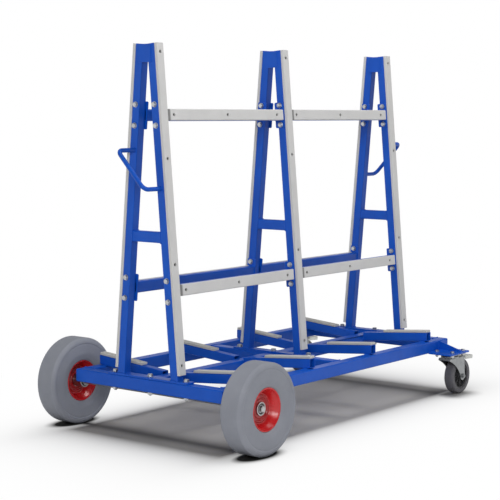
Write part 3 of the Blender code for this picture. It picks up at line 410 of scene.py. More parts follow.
def link(name, data):
    obj = bpy.data.objects.new(name, data)
    bpy.context.scene.collection.objects.link(obj)
    return obj


def modify(obj, name, kind, **settings):
    """Gives an object a modifier with its settings."""
    made = obj.modifiers.new(name, kind)
    for key, value in settings.items():
        setattr(made, key, value)
    return made


def toward(point, direction):
    """A place at a point whose z axis points in a direction."""
    return shift(point) @ Vector(direction).to_track_quat("Z", "Y").to_matrix().to_4x4()


def from_bmesh(bm, place=Matrix()):
    bmesh.ops.transform(bm, matrix=place, verts=bm.verts)
    mesh = bpy.data.meshes.new("shape")
    bm.to_mesh(mesh)
    bm.free()
    return link("shape", mesh)


def settled(obj):
    """A plain mesh instead of an object and its modifiers."""
    graph = bpy.context.evaluated_depsgraph_get()
    mesh = bpy.data.meshes.new_from_object(obj.evaluated_get(graph))
    bpy.data.objects.remove(obj)
    return link("shape", mesh)


def block(size, centre=(0, 0, 0), place=Matrix()):
    bm = bmesh.new()
    bmesh.ops.create_cube(bm, size=1)
    bmesh.ops.scale(bm, vec=size, verts=bm.verts)
    bmesh.ops.translate(bm, vec=centre, verts=bm.verts)
    return from_bmesh(bm, place)


def rod(radius, start, end, sides):
    start, end = Vector(start), Vector(end)
    bm = bmesh.new()
    bmesh.ops.create_cone(bm, cap_ends=True, segments=sides, radius1=radius, radius2=radius,
                          depth=(end - start).length)
    return from_bmesh(bm, toward((start + end) / 2, end - start))


def slab(outline, thickness, place=Matrix()):
    """A flat plate from its outline in x and y, centred on its thickness."""
    bm = bmesh.new()
    face = bm.faces.new([bm.verts.new((x, y, -thickness / 2)) for x, y in outline])
    grown = bmesh.ops.extrude_face_region(bm, geom=[face])
    top = [item for item in grown["geom"] if isinstance(item, bmesh.types.BMVert)]
    bmesh.ops.translate(bm, vec=(0, 0, thickness), verts=top)
    bmesh.ops.recalc_face_normals(bm, faces=bm.faces)
    return from_bmesh(bm, place)


def arc(centre, radius, start, end, steps):
    """Points along an arc in a plane, with its ends as angles in degrees."""
    angles = [math.radians(start + (end - start) * step / steps) for step in range(steps + 1)]
    return [(centre[0] + radius * math.cos(angle), centre[1] + radius * math.sin(angle))
            for angle in angles]


def bent(start, pull, end, steps):
    """Points along a curve from start to end that is drawn towards pull."""
    points = []
    for step in range(steps + 1):
        share = step / steps
        point = start * (1 - share) ** 2 + pull * 2 * share * (1 - share) + end * share ** 2
        points.append((point.x, point.y))
    return points


def filleted(corners, steps):
    """Points round a section whose corners are (x, y, cut), each rounded over its cut length."""
    points = []
    for index, (x, y, cut) in enumerate(corners):
        here = Vector((x, y))
        if not cut:
            points.append((x, y))
            continue
        back = Vector(corners[index - 1][:2]) - here
        onward = Vector(corners[(index + 1) % len(corners)][:2]) - here
        start = here + back.normalized() * min(cut, back.length * 0.49)
        end = here + onward.normalized() * min(cut, onward.length * 0.49)
        points += bent(start, here, end, steps)
    return points


def mirrored(half):
    """A section's half, followed by its mirror image in reverse order."""
    return half + [(radius, -height, cut) for radius, height, cut in reversed(half)]


def turned(section, sides, place=Matrix(), closed=True):
    """A turned shape from points of radius and height. An open section starts and ends on the axis."""
    bm = bmesh.new()
    verts = [bm.verts.new((radius, 0, height)) for radius, height in section]
    pairs = list(zip(verts, verts[1:]))
    if closed:
        pairs.append((verts[-1], verts[0]))
    edges = [bm.edges.new(pair) for pair in pairs]
    bmesh.ops.spin(bm, geom=verts + edges, cent=(0, 0, 0), axis=(0, 0, 1), angle=math.tau,
                   steps=sides, use_merge=True)
    bmesh.ops.remove_doubles(bm, verts=bm.verts, dist=0.000005)
    bmesh.ops.recalc_face_normals(bm, faces=bm.faces)
    return from_bmesh(bm, place)


def rounded(corners, steps, sides, place=Matrix()):
    """A turned shape from corners (radius, height, cut), each rounded in some steps."""
    return turned(filleted(corners, steps), sides, place)


def sleeve(bore, radius, low, high, edge, steps, sides, place=Matrix()):
    """A turned sleeve with rounded outer edges."""
    return rounded([(bore, low, 0), (radius, low, edge), (radius, high, edge), (bore, high, 0)],
                   steps, sides, place)


def combined(body, tools, operation):
    """A body united with, cut by or trimmed to its tools, which go."""
    for tool in tools:
        modify(body, "combine", "BOOLEAN", operation=operation, solver="EXACT", object=tool)
        body = settled(body)
        bpy.data.objects.remove(tool)
    return body


def together(pieces):
    """One mesh from several closed bodies."""
    bm = bmesh.new()
    for piece in pieces:
        bm.from_mesh(piece.data)
        bpy.data.objects.remove(piece)
    return from_bmesh(bm)


def softened(obj, width, segments=2, angle=35):
    """Rounds the edges that turn by more than an angle."""
    modify(obj, "edges", "BEVEL", width=width, segments=segments, limit_method="ANGLE",
           angle_limit=math.radians(angle))
    return settled(obj)


def dressed(obj, name, paint, body, nodes=(), place=Matrix(), angle=50):
    """Puts a shape in its place as a named piece, with its material, body and solids it stands for."""
    obj.data.transform(place)
    obj.data.materials.clear()
    obj.data.materials.append(paint)
    obj.data.shade_smooth()
    obj.data.set_sharp_from_angle(angle=math.radians(angle))
    modify(obj, "even", "WEIGHTED_NORMAL", keep_sharp=True)
    piece = settled(obj)
    piece.name = name
    piece.data.name = name
    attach(piece, body)
    if nodes:
        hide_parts(*nodes)
    return piece


def new_curve(lines):
    """A curve object from lines of points. A line may close on its first point."""
    data = bpy.data.curves.new("lines", "CURVE")
    data.dimensions = "3D"
    for points in lines:
        spline = data.splines.new("POLY")
        closed = (Vector(points[0]) - Vector(points[-1])).length < 0.0001
        kept = points[:-1] if closed else points
        spline.points.add(len(kept) - 1)
        for target, point in zip(spline.points, kept):
            target.co = (*point, 1)
        spline.use_cyclic_u = closed
    return link("lines", data)


def up_slope(height):
    """A height on a slab face, as a distance up the slope from its top edge."""
    return (height - FRAME_TOP) / math.cos(LEAN)


def face_reach(height):
    """How far a slab face is from the centre line at a height."""
    return TOP_SPREAD / 2 + (FRAME_TOP - height) * math.tan(LEAN)


def slab_face(side):
    """A leaning face: x along the buggy, y out of the face, z up the slope from its top edge."""
    half_turn = 0 if side == FAR else math.pi
    return shift((0, side * TOP_SPREAD / 2, FRAME_TOP)) @ turn(half_turn, "Z") @ turn(LEAN, "X")


# Solids that keep their shape

def finish_node(name, paint, edge):
    """Gives a solid its material and small rounded edges."""
    node = NODES[name]
    node.data.materials.clear()
    node.data.materials.append(paint)
    modify(node, "weld", "WELD", merge_threshold=0.00002)
    modify(node, "flat", "DECIMATE", decimate_type="DISSOLVE", angle_limit=math.radians(0.5))
    modify(node, "edges", "BEVEL", width=edge, segments=2, limit_method="ANGLE",
           angle_limit=math.radians(50), harden_normals=False)
    modify(node, "even", "WEIGHTED_NORMAL", keep_sharp=True, weight=80)
    node.data.shade_smooth()


for node_name in NODES:
    if node_name.startswith(("cross_tube", "side_rail", "spine", "a_frame", "rail_upper", "rail_lower")):
        finish_node(node_name, BLUE_PAINT, 0.0016)


# Rubber strips and pads, with a sunk hole for each screw

SCREW_SINK = 0.0065
SCREW_HOLE = 0.0076
POST_SCREW_HEIGHTS = (1.6965, 1.241, 0.787, 0.353)
RAIL_SCREW_INSET, PAD_SCREW_INSET = 0.05, 0.03
screw_places = []


def faced_strip(node, paint, place, size, centre, corner, holes, face_y):
    """A moulded strip with rounded edges and sunk screw holes in its outer face, at face_y."""
    body = softened(block(size, centre), corner, segments=4, angle=80)
    tools = []
    for x, z in holes:
        sunk = (x, face_y - SCREW_SINK, z)
        tools.append(rod(SCREW_HOLE, sunk, (x, face_y + SCREW_SINK, z), 24))
        screw_places.append(place @ shift(sunk) @ turn(-QUARTER, "X"))
    body = softened(combined(body, tools, "DIFFERENCE"), 0.0004, segments=1, angle=60)
    dressed(body, f"{node}_moulded", paint, "frame", [node], place)


def post_strips():
    """The rubber strips on the leaning faces of the A-frames."""
    length = -up_slope(STRIP_FOOT)
    holes = [(0, up_slope(height)) for height in POST_SCREW_HEIGHTS]
    size = (POST_WIDTH, STRIP_THICK, length)
    centre = (0, STRIP_THICK / 2 + FIT, -length / 2)
    for side_name, side in SIDES.items():
        for number, x in enumerate(FRAME_PLACES, 1):
            place = slab_face(side) @ shift((side * x, 0, 0))
            faced_strip(f"post_strip_{side_name}_{number}", STRIP_RUBBER, place, size,
                        centre, corner=0.002, holes=holes, face_y=STRIP_THICK + FIT)


def rail_strips():
    """The rubber strips on the rails between the A-frames."""
    length = FRAME_PITCH - POST_WIDTH - 2 * PLATE_THICK - 4 * FIT
    end_hole = length / 2 - RAIL_SCREW_INSET
    holes = [(-end_hole, 0), (0, 0), (end_hole, 0)]
    size = (length, STRIP_THICK, RAIL_HEIGHT)
    for side_name, side in SIDES.items():
        for level, height in (("upper", UPPER_RAIL), ("lower", LOWER_RAIL)):
            for bay, x in enumerate((-FRAME_PITCH / 2, FRAME_PITCH / 2), 1):
                place = slab_face(side) @ shift((side * x, 0, up_slope(height)))
                faced_strip(f"rail_strip_{level}_{side_name}_{bay}", RAIL_RUBBER, place,
                            size, (0, -STRIP_THICK / 2, 0), corner=0.0042, holes=holes, face_y=0)


def bearer_pads():
    """The rubber pads on the bearers, each held by two sunk screws."""
    length = (BEARER_REACH - PAD_START) / math.cos(LEAN)
    middle = (PAD_START + BEARER_REACH) / 2
    top = BASE_TOP + FIT + (middle - BASE_INNER) * math.tan(LEAN) + BEARER_DEPTH / math.cos(LEAN)
    end_hole = length / 2 - PAD_SCREW_INSET
    holes = [(0, -end_hole), (0, end_hole)]
    size = (PAD_WIDTH, PAD_THICK, length)
    for side_name, side in SIDES.items():
        for number, x in enumerate(BEARER_X, 1):
            place = (shift((x, side * middle, top)) @ turn(side * LEAN, "X")
                     @ shift((0, 0, PAD_THICK / 2 + FIT)) @ turn(QUARTER, "X"))
            faced_strip(f"pad_{side_name}_{number}", PAD_RUBBER, place, size, (0, 0, 0),
                        corner=0.003, holes=holes, face_y=PAD_THICK / 2)


# Handles

HANDLE_FEET = ((POST_DEPTH / 2 + HANDLE_INSET - face_reach(HANDLE_HIGH), HANDLE_HIGH),
               (face_reach(HANDLE_LOW) - POST_DEPTH / 2, HANDLE_LOW))


def handles():
    """A bent round tube on each end A-frame, from one post across to the other."""
    start = POST_WIDTH / 2 + FIT
    grip = POST_WIDTH / 2 + HANDLE_OUT
    high, low = HANDLE_FEET
    corners = [Vector(point) for point in ((start, *high), (grip, *high), (grip, *low), (start, *low))]
    points = [corners[0]]
    steps = 12
    for before, corner, after in zip(corners, corners[1:], corners[2:]):
        back = (before - corner).normalized()
        onward = (after - corner).normalized()
        half = back.angle(onward) / 2
        centre = corner + (back + onward).normalized() * HANDLE_BEND / math.sin(half)
        first = corner + back * HANDLE_BEND / math.tan(half) - centre
        axis = back.cross(onward).normalized()
        points += [centre + Matrix.Rotation(-(math.pi - 2 * half) * step / steps, 3, axis) @ first
                   for step in range(steps + 1)]
    points.append(corners[-1])
    for end, sign, half_turn in (("caster_end", 1, 0), ("wheel_end", -1, math.pi)):
        tube = new_curve([points])
        tube.data.bevel_depth = HANDLE_RADIUS
        tube.data.bevel_resolution = 6
        tube.data.use_fill_caps = True
        place = shift((sign * FRAME_PITCH, 0, 0)) @ turn(half_turn, "Z")
        dressed(settled(tube), f"handle_{end}_bent", BLUE_PAINT, "frame",
                [f"handle_{end}"], place)


# Big wheels, with their sections as corners of radius, height and cut

def foam_tyre():
    """Flat tread, chamfered shoulders, a moulded ring on each sidewall and a bead at the rim."""
    half = [(0.0950, 0.0452, 0.0010), (0.1010, 0.0492, 0.0030), (0.1250, 0.0540, 0.0080),
            (0.1660, 0.0540, 0.0040), (0.1722, 0.0530, 0.0025), (0.1758, 0.0552, 0.0018),
            (0.1850, 0.0546, 0.0030), (0.1935, 0.0505, 0.0035), (0.2000, 0.0425, 0.0022)]
    seat = [(0.0950, -0.0380, 0.0010), (0.0800, -0.0200, 0.0020), (0.0800, 0.0200, 0.0020),
            (0.0950, 0.0380, 0.0010)]
    return rounded(mirrored(half) + seat, 5, 128)


def pressed_rim():
    """Two dished pressings: a raised ring round the hub, a deep cone and a rolled lip."""
    half = [(0.0298, 0.0085, 0.0008), (0.0400, 0.0078, 0.0010), (0.0430, 0.0045, 0.0015),
            (0.0480, 0.0045, 0.0015), (0.0510, 0.0095, 0.0018), (0.0570, 0.0098, 0.0018),
            (0.0610, 0.0048, 0.0020), (0.0660, 0.0060, 0.0020), (0.0740, 0.0220, 0.0050),
            (0.0862, 0.0398, 0.0030), (0.0878, 0.0440, 0.0012), (0.0900, 0.0458, 0.0010),
            (0.0932, 0.0458, 0.0012), (0.0944, 0.0436, 0.0008), (0.0800, 0.0195, 0.0020)]
    return rounded(mirrored(half), 4, 96)


def bearing_hub():
    """The zinc bearing housing, with a stepped collar towards the frame."""
    section = [(0.0293, HUB_OUT, 0.0012), (0.0293, 0.0090, 0.0004), (0.0280, 0.0080, 0.0004),
               (0.0280, -0.0120, 0.0004), (0.0293, -0.0135, 0.0004), (0.0293, -HUB_IN, 0.0015),
               (0.0235, -HUB_IN, 0.0008), (0.0235, -0.0520, 0), (0.0140, -0.0520, 0),
               (0.0140, 0.0060, 0), (0.0238, 0.0060, 0), (0.0238, HUB_OUT, 0.0008)]
    return rounded(section, 3, 64)


def bearing_seals():
    """The dark seals of the bearings at both ends of the hub."""
    bore, cut = 0.0145, 0.0003
    seals = []
    for radius, face, back in ((0.0236, 0.0118, 0.0062), (0.0233, -0.0600, -0.0522)):
        section = [(radius, face, cut), (bore, face, cut), (bore, back, 0), (radius, back, 0)]
        seals.append(rounded(section, 2, 48))
    return together(seals)


def big_wheels():
    """Tyre, rim, hub and seals of each big wheel, with their height axis away from the buggy."""
    kinds = ((foam_tyre, "tyre", TYRE_FOAM, "grey_tyre"), (pressed_rim, "rim", RED_PAINT, "red_paint"),
             (bearing_hub, "hub", BRIGHT_ZINC, "zinc"))
    for side_name, side in SIDES.items():
        place = shift((AXLE_X, side * WHEEL_PLANE, WHEEL_RADIUS)) @ turn(-side * QUARTER, "X")
        body = f"wheel_{side_name}"
        for make, kind, paint, slot in kinds:
            node = f"{kind}_{side_name}"
            dressed(make(), f"{node}_turned", paint, body, [node], place, angle=40)
        dressed(bearing_seals(), f"bearing_seals_{side_name}", SEAL_RUBBER, body, (), place)


# Bolts, nuts and screws

FULL_TWIST, QUARTER_TWIST = 6.28, 1.57


def hexagon(radius, height, base=0.0):
    """A hexagon with a turned chamfer on its upper edge, standing on its base."""
    top = base + height
    below = base - 0.001
    wide = radius * 1.05
    blank = rod(radius, (0, 0, base), (0, 0, top), 6)
    turning = turned([(0, below), (wide, below), (wide, top - radius * 0.14), (radius * 0.80, top),
                      (0, top)], 32, closed=False)
    return combined(blank, [turning], "INTERSECT")


def washer(inner, outer, thick):
    edge = thick * 0.2
    return rounded([(inner, 0, 0), (outer, 0, edge), (outer, thick, edge), (inner, thick, edge)], 2, 28)


def on_washer(shank, corner, height, thick):
    """A washer and the hexagon on it."""
    return [washer(shank * 1.05, corner * 1.12, thick), hexagon(corner, height, thick)]


def bolt_head(shank, corner, head, thick):
    """A hexagon head on its washer, with the start of the shank below."""
    return together(on_washer(shank, corner, head, thick) + [rod(shank, (0, 0, -0.004), (0, 0, thick), 16)])


def bolt_end(shank, corner, nut, thick):
    """A nut on its washer, with the bolt's threaded end standing out of it."""
    pitch = 0.0012
    height = thick + nut - 0.001
    turns = [(0, thick)]
    for step in range(4):
        turns += [(shank, height), (shank * 0.90, height + pitch / 2)]
        height += pitch
    turns += [(shank * 0.85, height), (0, height)]
    return together(on_washer(shank, corner, nut, thick) + [turned(turns, 20, closed=False)])


def pan_screw():
    """A pan head with a cross recess."""
    radius = 0.0067
    head = turned([(0, 0), (radius, 0), (radius, 0.0008), (radius * 0.85, 0.0018),
                   (radius * 0.5, 0.0023), (0, 0.0025)], 20, closed=False)
    long, wide, deep = 0.0046, 0.0010, 0.0020
    slots = [block(size, (0, 0, 0.0024)) for size in ((long, wide, deep), (wide, long, deep))]
    return combined(head, slots, "DIFFERENCE")


def setting_tree():
    """Sets one fastener on every point, along the point's own turn and at a chance twist."""
    tree, given, result = new_group(
        "set_fasteners", "GeometryNodeTree",
        [("Geometry", SHAPE, None), ("Fastener", "NodeSocketObject", None), ("Finish", FINISH, None),
         ("Twist", FLOAT, None), ("Seed", "NodeSocketInt", None)], [("Geometry", SHAPE)])
    stored = add_node(tree, "GeometryNodeInputNamedAttribute", {"data_type": "FLOAT_VECTOR"}, Name="turn")
    along = add_node(tree, "FunctionNodeEulerToRotation", Euler=stored.outputs[0])
    chance = add_node(tree, "FunctionNodeRandomValue", {"data_type": "FLOAT"}, Seed=given["Seed"])
    highest = chance.inputs[3]
    feed(tree, highest, given["Twist"])
    twist = add_node(tree, "FunctionNodeAxisAngleToRotation", Axis=(0, 0, 1), Angle=chance.outputs[1])
    both = add_node(tree, "FunctionNodeRotateRotation", {"rotation_space": "LOCAL"},
                    Rotation=along.outputs["Rotation"], Rotate_By=twist.outputs["Rotation"])
    model = add_node(tree, "GeometryNodeObjectInfo", Object=given["Fastener"])
    set_out = add_node(tree, "GeometryNodeInstanceOnPoints", Points=given["Geometry"],
                       Instance=model.outputs["Geometry"], Rotation=both.outputs["Rotation"])
    finish_tree(tree, set_out.outputs["Instances"], given["Finish"], result)
    return tree


def finish_tree(tree, shape, finish, result):
    """Ends a geometry tree: real geometry with its material."""
    real = add_node(tree, "GeometryNodeRealizeInstances", Geometry=shape)
    painted = add_node(tree, "GeometryNodeSetMaterial", Geometry=real.outputs["Geometry"], Material=finish)
    feed(tree, result["Geometry"], painted.outputs["Geometry"])


def run_tree(obj, tree, **values):
    """Runs a geometry tree on an object with its named inputs, and settles the result."""
    modifier = modify(obj, "build", "NODES", node_group=tree)
    for item in tree.interface.items_tree:
        if item.item_type == "SOCKET" and item.in_out == "INPUT" and item.name in values:
            modifier[item.identifier] = values[item.name]
    return settled(obj)


def set_fasteners(name, model, places, paint, twist, seed):
    """One piece with a fastener at each place, where a place's z axis points out of the head."""
    mesh = bpy.data.meshes.new("places")
    mesh.from_pydata([place.to_translation() for place in places], [], [])
    turns = mesh.attributes.new("turn", "FLOAT_VECTOR", "POINT")
    for value, place in zip(turns.data, places):
        value.vector = place.to_euler()
    piece = run_tree(link("places", mesh), SETTING, Fastener=model, Finish=paint, Twist=twist, Seed=seed)
    bpy.data.objects.remove(model)
    return dressed(piece, name, paint, "frame", angle=35)


def set_bolts(name, heads, nuts, shank, head_size, nut_size, seed):
    """Bolts from their heads' and nuts' places. A size is (corner, height, washer's thickness)."""
    set_fasteners(f"{name}_heads", bolt_head(shank, *head_size), heads, BRIGHT_ZINC, FULL_TWIST, seed)
    set_fasteners(f"{name}_nuts", bolt_end(shank, *nut_size), nuts, BRIGHT_ZINC, FULL_TWIST, seed + 2)


def rail_bolts():
    """Bolts through the posts and the rails' end plates: heads one way, nuts the other."""
    heads = []
    nuts = []
    post = POST_WIDTH / 2
    plate = post + FIT + PLATE_THICK
    reaches = ((post, plate), (plate, plate), (plate, post))
    for side in SIDES.values():
        for height in (UPPER_RAIL, LOWER_RAIL):
            for step in (-RAIL_BOLT_REACH, RAIL_BOLT_REACH):
                for x, (low, high) in zip(FRAME_PLACES, reaches):
                    point = slab_face(side) @ Vector((side * x, -POST_DEPTH / 2, up_slope(height) + step))
                    heads.append(toward(point - Vector((low, 0, 0)), (-1, 0, 0)))
                    nuts.append(toward(point + Vector((high, 0, 0)), (1, 0, 0)))
    set_bolts("rail_bolt", heads, nuts, shank=0.005, head_size=(0.0112, 0.0078, 0.0024),
              nut_size=(0.0112, 0.0095, 0.0024), seed=3)


def upright_bolts(name, spots, top, bottom, **sizes):
    """Upright bolts with their heads on top, at spots in x and y."""
    heads = [toward((x, y, top), (0, 0, 1)) for x, y in spots]
    nuts = [toward((x, y, bottom), (0, 0, -1)) for x, y in spots]
    set_bolts(name, heads, nuts, **sizes)


def foot_bolts():
    """Bolts that hold the A-frames' foot bars down on the cross tubes."""
    spots = [(x, y) for x in FRAME_PLACES for y in (-FOOT_BOLT_REACH, 0, FOOT_BOLT_REACH)]
    upright_bolts("foot_bolt", spots, FOOT_TOP, BASE_BOTTOM, shank=0.006,
                  head_size=(0.0122, 0.0085, 0.0027), nut_size=(0.0122, 0.0110, 0.0027), seed=7)


def caster_bolts():
    """Bolts through the brackets and the casters' top plates."""
    along, across = CASTER_BOLTS
    spots = [(CASTER_X + x, side * CASTER_Y + y) for side in SIDES.values()
             for x in (-along, along) for y in (-across, across)]
    upright_bolts("caster_bolt", spots, BRACKET_TOP, BASE_BOTTOM - FIT - CASTER_PLATE, shank=0.005,
                  head_size=(0.0098, 0.0064, 0.002), nut_size=(0.0092, 0.0080, 0.0015), seed=11)


# The axle and the casters

def axle_with_nuts():
    """The fixed axle with its inner collars, outer washers and lock nuts."""
    bore, play, disc_thick, nut_height = 0.0120, 0.0006, 0.0025, 0.012
    disc_low = WHEEL_PLANE + HUB_OUT - 0.006 + play
    disc_high = disc_low + disc_thick
    end = disc_high + nut_height + 0.003
    collar_end = WHEEL_PLANE - HUB_IN - play
    half = filleted([(0.0, end, 0), (0.0105, end, 0.0005), (0.0125, end - 0.002, 0.0005)], 2)
    bodies = [turned(half + [(radius, -height) for radius, height in reversed(half)], 48, closed=False)]
    for half_turn in (math.pi, 0):
        flip = turn(half_turn, "X")
        nut = hexagon(0.0152, nut_height, disc_high)
        nut.data.transform(flip)
        bodies += [sleeve(bore, 0.0200, collar_end - 0.006, collar_end, 0.001, 3, 48, flip),
                   sleeve(bore, 0.0172, disc_low, disc_high, 0.0004, 2, 48, flip), nut]
    place = shift((AXLE_X, 0, WHEEL_RADIUS)) @ turn(-QUARTER, "X")
    dressed(together(bodies), "axle_turned", BRIGHT_ZINC, "frame", ["axle"], place, angle=40)


def caster_top():
    """The top plate, its fixed race and the king pin's head."""
    top = BASE_BOTTOM - FIT
    low = top - 0.0138
    x, y, corner = 0.070, 0.056, 0.012
    outline = filleted([(-x, -y, corner), (x, -y, corner), (x, y, corner), (-x, y, corner)], 6)
    plate = softened(slab(outline, CASTER_PLATE, shift((0, 0, top - CASTER_PLATE / 2))), 0.0008)
    race = rounded([(0.0385, top - 0.005, 0), (0.0400, top - 0.0085, 0.001), (0.0400, low, 0.002),
                    (0.0, low, 0)], 4, 64)
    head_top = CROWN_TOP - 0.0048
    head = rounded([(0.0005, head_top, 0), (0.0140, head_top, 0.001), (0.0125, head_top - 0.0044, 0.0015),
                    (0.0005, head_top - 0.0048, 0)], 3, 40)
    pin = rod(0.008, (0, 0, CROWN_TOP - 0.006), (0, 0, low + 0.001), 24)
    return together([plate, race, head, pin])


def fork_silhouette():
    """The fork from its side: a swept leading edge, an eye round the axle and the pedal's lug."""
    above = CROWN_TOP + 0.01
    eye_radius, lug_radius = 0.021, 0.008
    front = Vector((-FORK_FRONT, CROWN_TOP - FORK_SHEET - FORK_BEND))
    back = Vector((TRAIL - eye_radius, CASTER_RADIUS))
    pull = Vector((back.x - (back.x - front.x) * 0.26, back.y + (front.y - back.y) * 0.66))
    outline = [(-FORK_FRONT, above)] + bent(front, pull, back, 16)
    outline += arc((TRAIL, CASTER_RADIUS), eye_radius, 180, 360, 24)[1:]
    outline += arc((FORK_BACK, PEDAL_PIN_HEIGHT), lug_radius, -70, 70, 10)
    return outline + [(FORK_BACK - lug_radius, above)]


def arch(half, top, bend, steps):
    """An arch with two rounded shoulders, from its left foot to its right one."""
    foot = 0.06
    left = [(-half, foot)] + arc((bend - half, top - bend), bend, 180, 90, steps)
    return left + arc((half - bend, top - bend), bend, 90, 0, steps) + [(half, foot)]


def fork_sheet():
    """The pressed fork with its apron, open behind for the pedal."""
    under = CROWN_TOP - FORK_SHEET
    section = (arch(FORK_HALF, CROWN_TOP, FORK_BEND, 8)
               + arch(FORK_GAP / 2, under, FORK_BEND - FORK_SHEET, 6)[::-1])
    upright = turn(QUARTER, "X")
    sheet = slab(section, 0.30, turn(QUARTER, "Z") @ upright)
    sheet = combined(sheet, [slab(fork_silhouette(), 0.10, upright)], "INTERSECT")
    low, high = under - FORK_BEND, CROWN_TOP - 0.001
    apron = block((FORK_SHEET, FORK_GAP + 0.004, high - low),
                  (FORK_SHEET / 2 - FORK_FRONT, 0, (high + low) / 2))
    sheet = combined(sheet, [apron], "UNION")
    notch = block((0.03, FORK_GAP, 0.03), (FORK_BACK + 0.0078, 0, PEDAL_PIN_HEIGHT + 0.0098))
    return softened(combined(sheet, [notch], "DIFFERENCE"), 0.0012, 3, 30)


def caster_fork_shape():
    """The fork with its raceway, the wheel's bolt and the pedal's pin."""
    low, shoulder, high = CROWN_TOP - 0.001, CROWN_TOP + 0.0045, CROWN_TOP + 0.0075
    raceway = rounded([(0.009, low, 0), (0.0460, low, 0), (0.0460, shoulder, 0.003),
                       (0.0425, high, 0.001), (0.009, high, 0)], 4, 64)
    eye = Vector((TRAIL, 0, CASTER_RADIUS))
    reach = Vector((0, 0.046, 0))
    bodies = [fork_sheet(), raceway, rod(0.006, eye - reach, eye + reach, 24)]
    thick = 0.0016
    for side in (NEAR, FAR):
        out = shift(eye + Vector((0, side * (FORK_HALF + 0.0002), 0))) @ turn(-side * QUARTER, "X")
        for part in (hexagon(0.0115, 0.0078, thick), washer(0.0062, 0.0125, thick)):
            part.data.transform(out)
            bodies.append(part)
    pin = Vector((FORK_BACK, 0, PEDAL_PIN_HEIGHT))
    reach = Vector((0, FORK_HALF + 0.0015, 0))
    bodies.append(softened(rod(0.0027, pin - reach, pin + reach, 20), 0.0006, 2, 60))
    return together(bodies)


def caster_tread():
    """The rubber tread ring with rounded shoulders."""
    half = [(0.0662, 0.0248, 0.0008), (0.0860, 0.0250, 0.0040), (0.0895, 0.0215, 0.0040),
            (0.0920, 0.0150, 0.0050)]
    return rounded(mirrored(half), 5, 96)


def caster_centre():
    """The moulded centre: rim, web, hub and eight ribs on each side."""
    half = [(0.0660, -0.0220, 0.0008), (0.0585, -0.0215, 0.0012), (0.0570, -0.0060, 0.0020),
            (0.0215, -0.0060, 0.0020), (0.0210, -0.0270, 0.0012), (0.0066, -0.0270, 0.0005)]
    bodies = [rounded(mirrored(half), 3, 64)]
    ribs = 8
    for step in range(ribs):
        for side in (-1, 1):
            place = turn(math.tau * step / ribs, "Z")
            rib = block((0.038, 0.0035, 0.0115), (0.0395, 0, side * 0.0113), place)
            bodies.append(softened(rib, 0.0006))
    return together(bodies)


def pedal_outline(inset, start):
    """The pedal's tread from above, with a rounded tip."""
    corner = 0.022 - inset
    side = 0.033 - inset
    tip = 0.081
    points = [(start, -side)] + arc((tip, corner - side), corner, -90, 0, 14)
    return points + arc((tip, side - corner), corner, 0, 90, 14) + [(start, side)]


def pedal_shape():
    """The brake pedal: a barrel round its pin, a neck and a hollow tread with a rounded tip."""
    top = turn(math.atan(0.0065 / 0.103), "Y") @ shift((0, 0, 0.0045))
    depth, wall = 0.0175, 0.0035
    tread = slab(pedal_outline(0, 0.013), depth, top @ shift((0, 0, -depth / 2)))
    hollow = slab(pedal_outline(wall, 0.003), depth, top @ shift((0, 0, -depth / 2 - wall)))
    tread = softened(combined(tread, [hollow], "DIFFERENCE"), 0.0013, 3, 40)
    neck = softened(block((0.024, 0.051, wall), (0.012, 0, -wall), top), 0.0008)
    barrel = sleeve(0.0033, 0.0052, -0.027, 0.027, 0.0006, 3, 32, turn(QUARTER, "X"))
    return together([tread, neck, barrel])


def casters():
    """Both casters: the fixed top, the fork that swivels, the wheel in it and the brake pedal."""
    stays = Matrix()
    wheel_turn = shift((TRAIL, 0, CASTER_RADIUS)) @ turn(QUARTER, "X")
    pedal_place = shift((FORK_BACK, 0, PEDAL_PIN_HEIGHT))
    kinds = ((caster_top, "plate", ZINC, "frame", "zinc", stays),
             (caster_fork_shape, "fork", ZINC, "caster", "zinc", stays),
             (caster_tread, "tyre", CASTER_RUBBER, "caster_wheel", "dark_rubber", wheel_turn),
             (caster_centre, "core", CORE_PLASTIC, "caster_wheel", "dark_plastic", wheel_turn),
             (pedal_shape, "brake", PEDAL_STEEL, "brake", "pedal_grey", pedal_place))
    for side_name, side in SIDES.items():
        stand = shift((CASTER_X, side * CASTER_Y, 0))
        for make, kind, paint, body, slot, place in kinds:
            carrier = body if body == "frame" else f"{body}_{side_name}"
            node = f"caster_{kind}_{side_name}"
            dressed(make(), f"{node}_pressed", paint, carrier, [node], stand @ place, angle=40)


# Weld beads

def bead_tree():
    """Lays a rippled bead along every curve."""
    tree, given, result = new_group(
        "lay_bead", "GeometryNodeTree",
        [("Geometry", SHAPE, None), ("Radius", FLOAT, None), ("Pitch", FLOAT, None),
         ("Finish", FINISH, None)], [("Geometry", SHAPE)])
    cut = add_node(tree, "GeometryNodeResampleCurve", {"mode": "LENGTH"}, Curve=given["Geometry"],
                   Length=maths(tree, "DIVIDE", given["Pitch"], 3.0))
    along = tree.nodes.new("GeometryNodeSplineParameter").outputs["Length"]
    angle = maths(tree, "MULTIPLY", maths(tree, "DIVIDE", along, given["Pitch"]), math.tau)
    cloud = add_node(tree, "ShaderNodeTexNoise", Scale=90.0, Detail=2.0).outputs["Fac"]
    uneven = maths(tree, "MULTIPLY_ADD", cloud, 0.5, 0.75)
    ripple = maths(tree, "MULTIPLY_ADD", maths(tree, "SINE", angle), 0.10, uneven)
    circle = add_node(tree, "GeometryNodeCurvePrimitiveCircle", Resolution=8, Radius=1.0)
    bead = add_node(tree, "GeometryNodeCurveToMesh", Curve=cut.outputs["Curve"],
                    Profile_Curve=circle.outputs["Curve"],
                    Scale=maths(tree, "MULTIPLY", ripple, given["Radius"]), Fill_Caps=True)
    finish_tree(tree, bead.outputs["Mesh"], given["Finish"], result)
    return tree


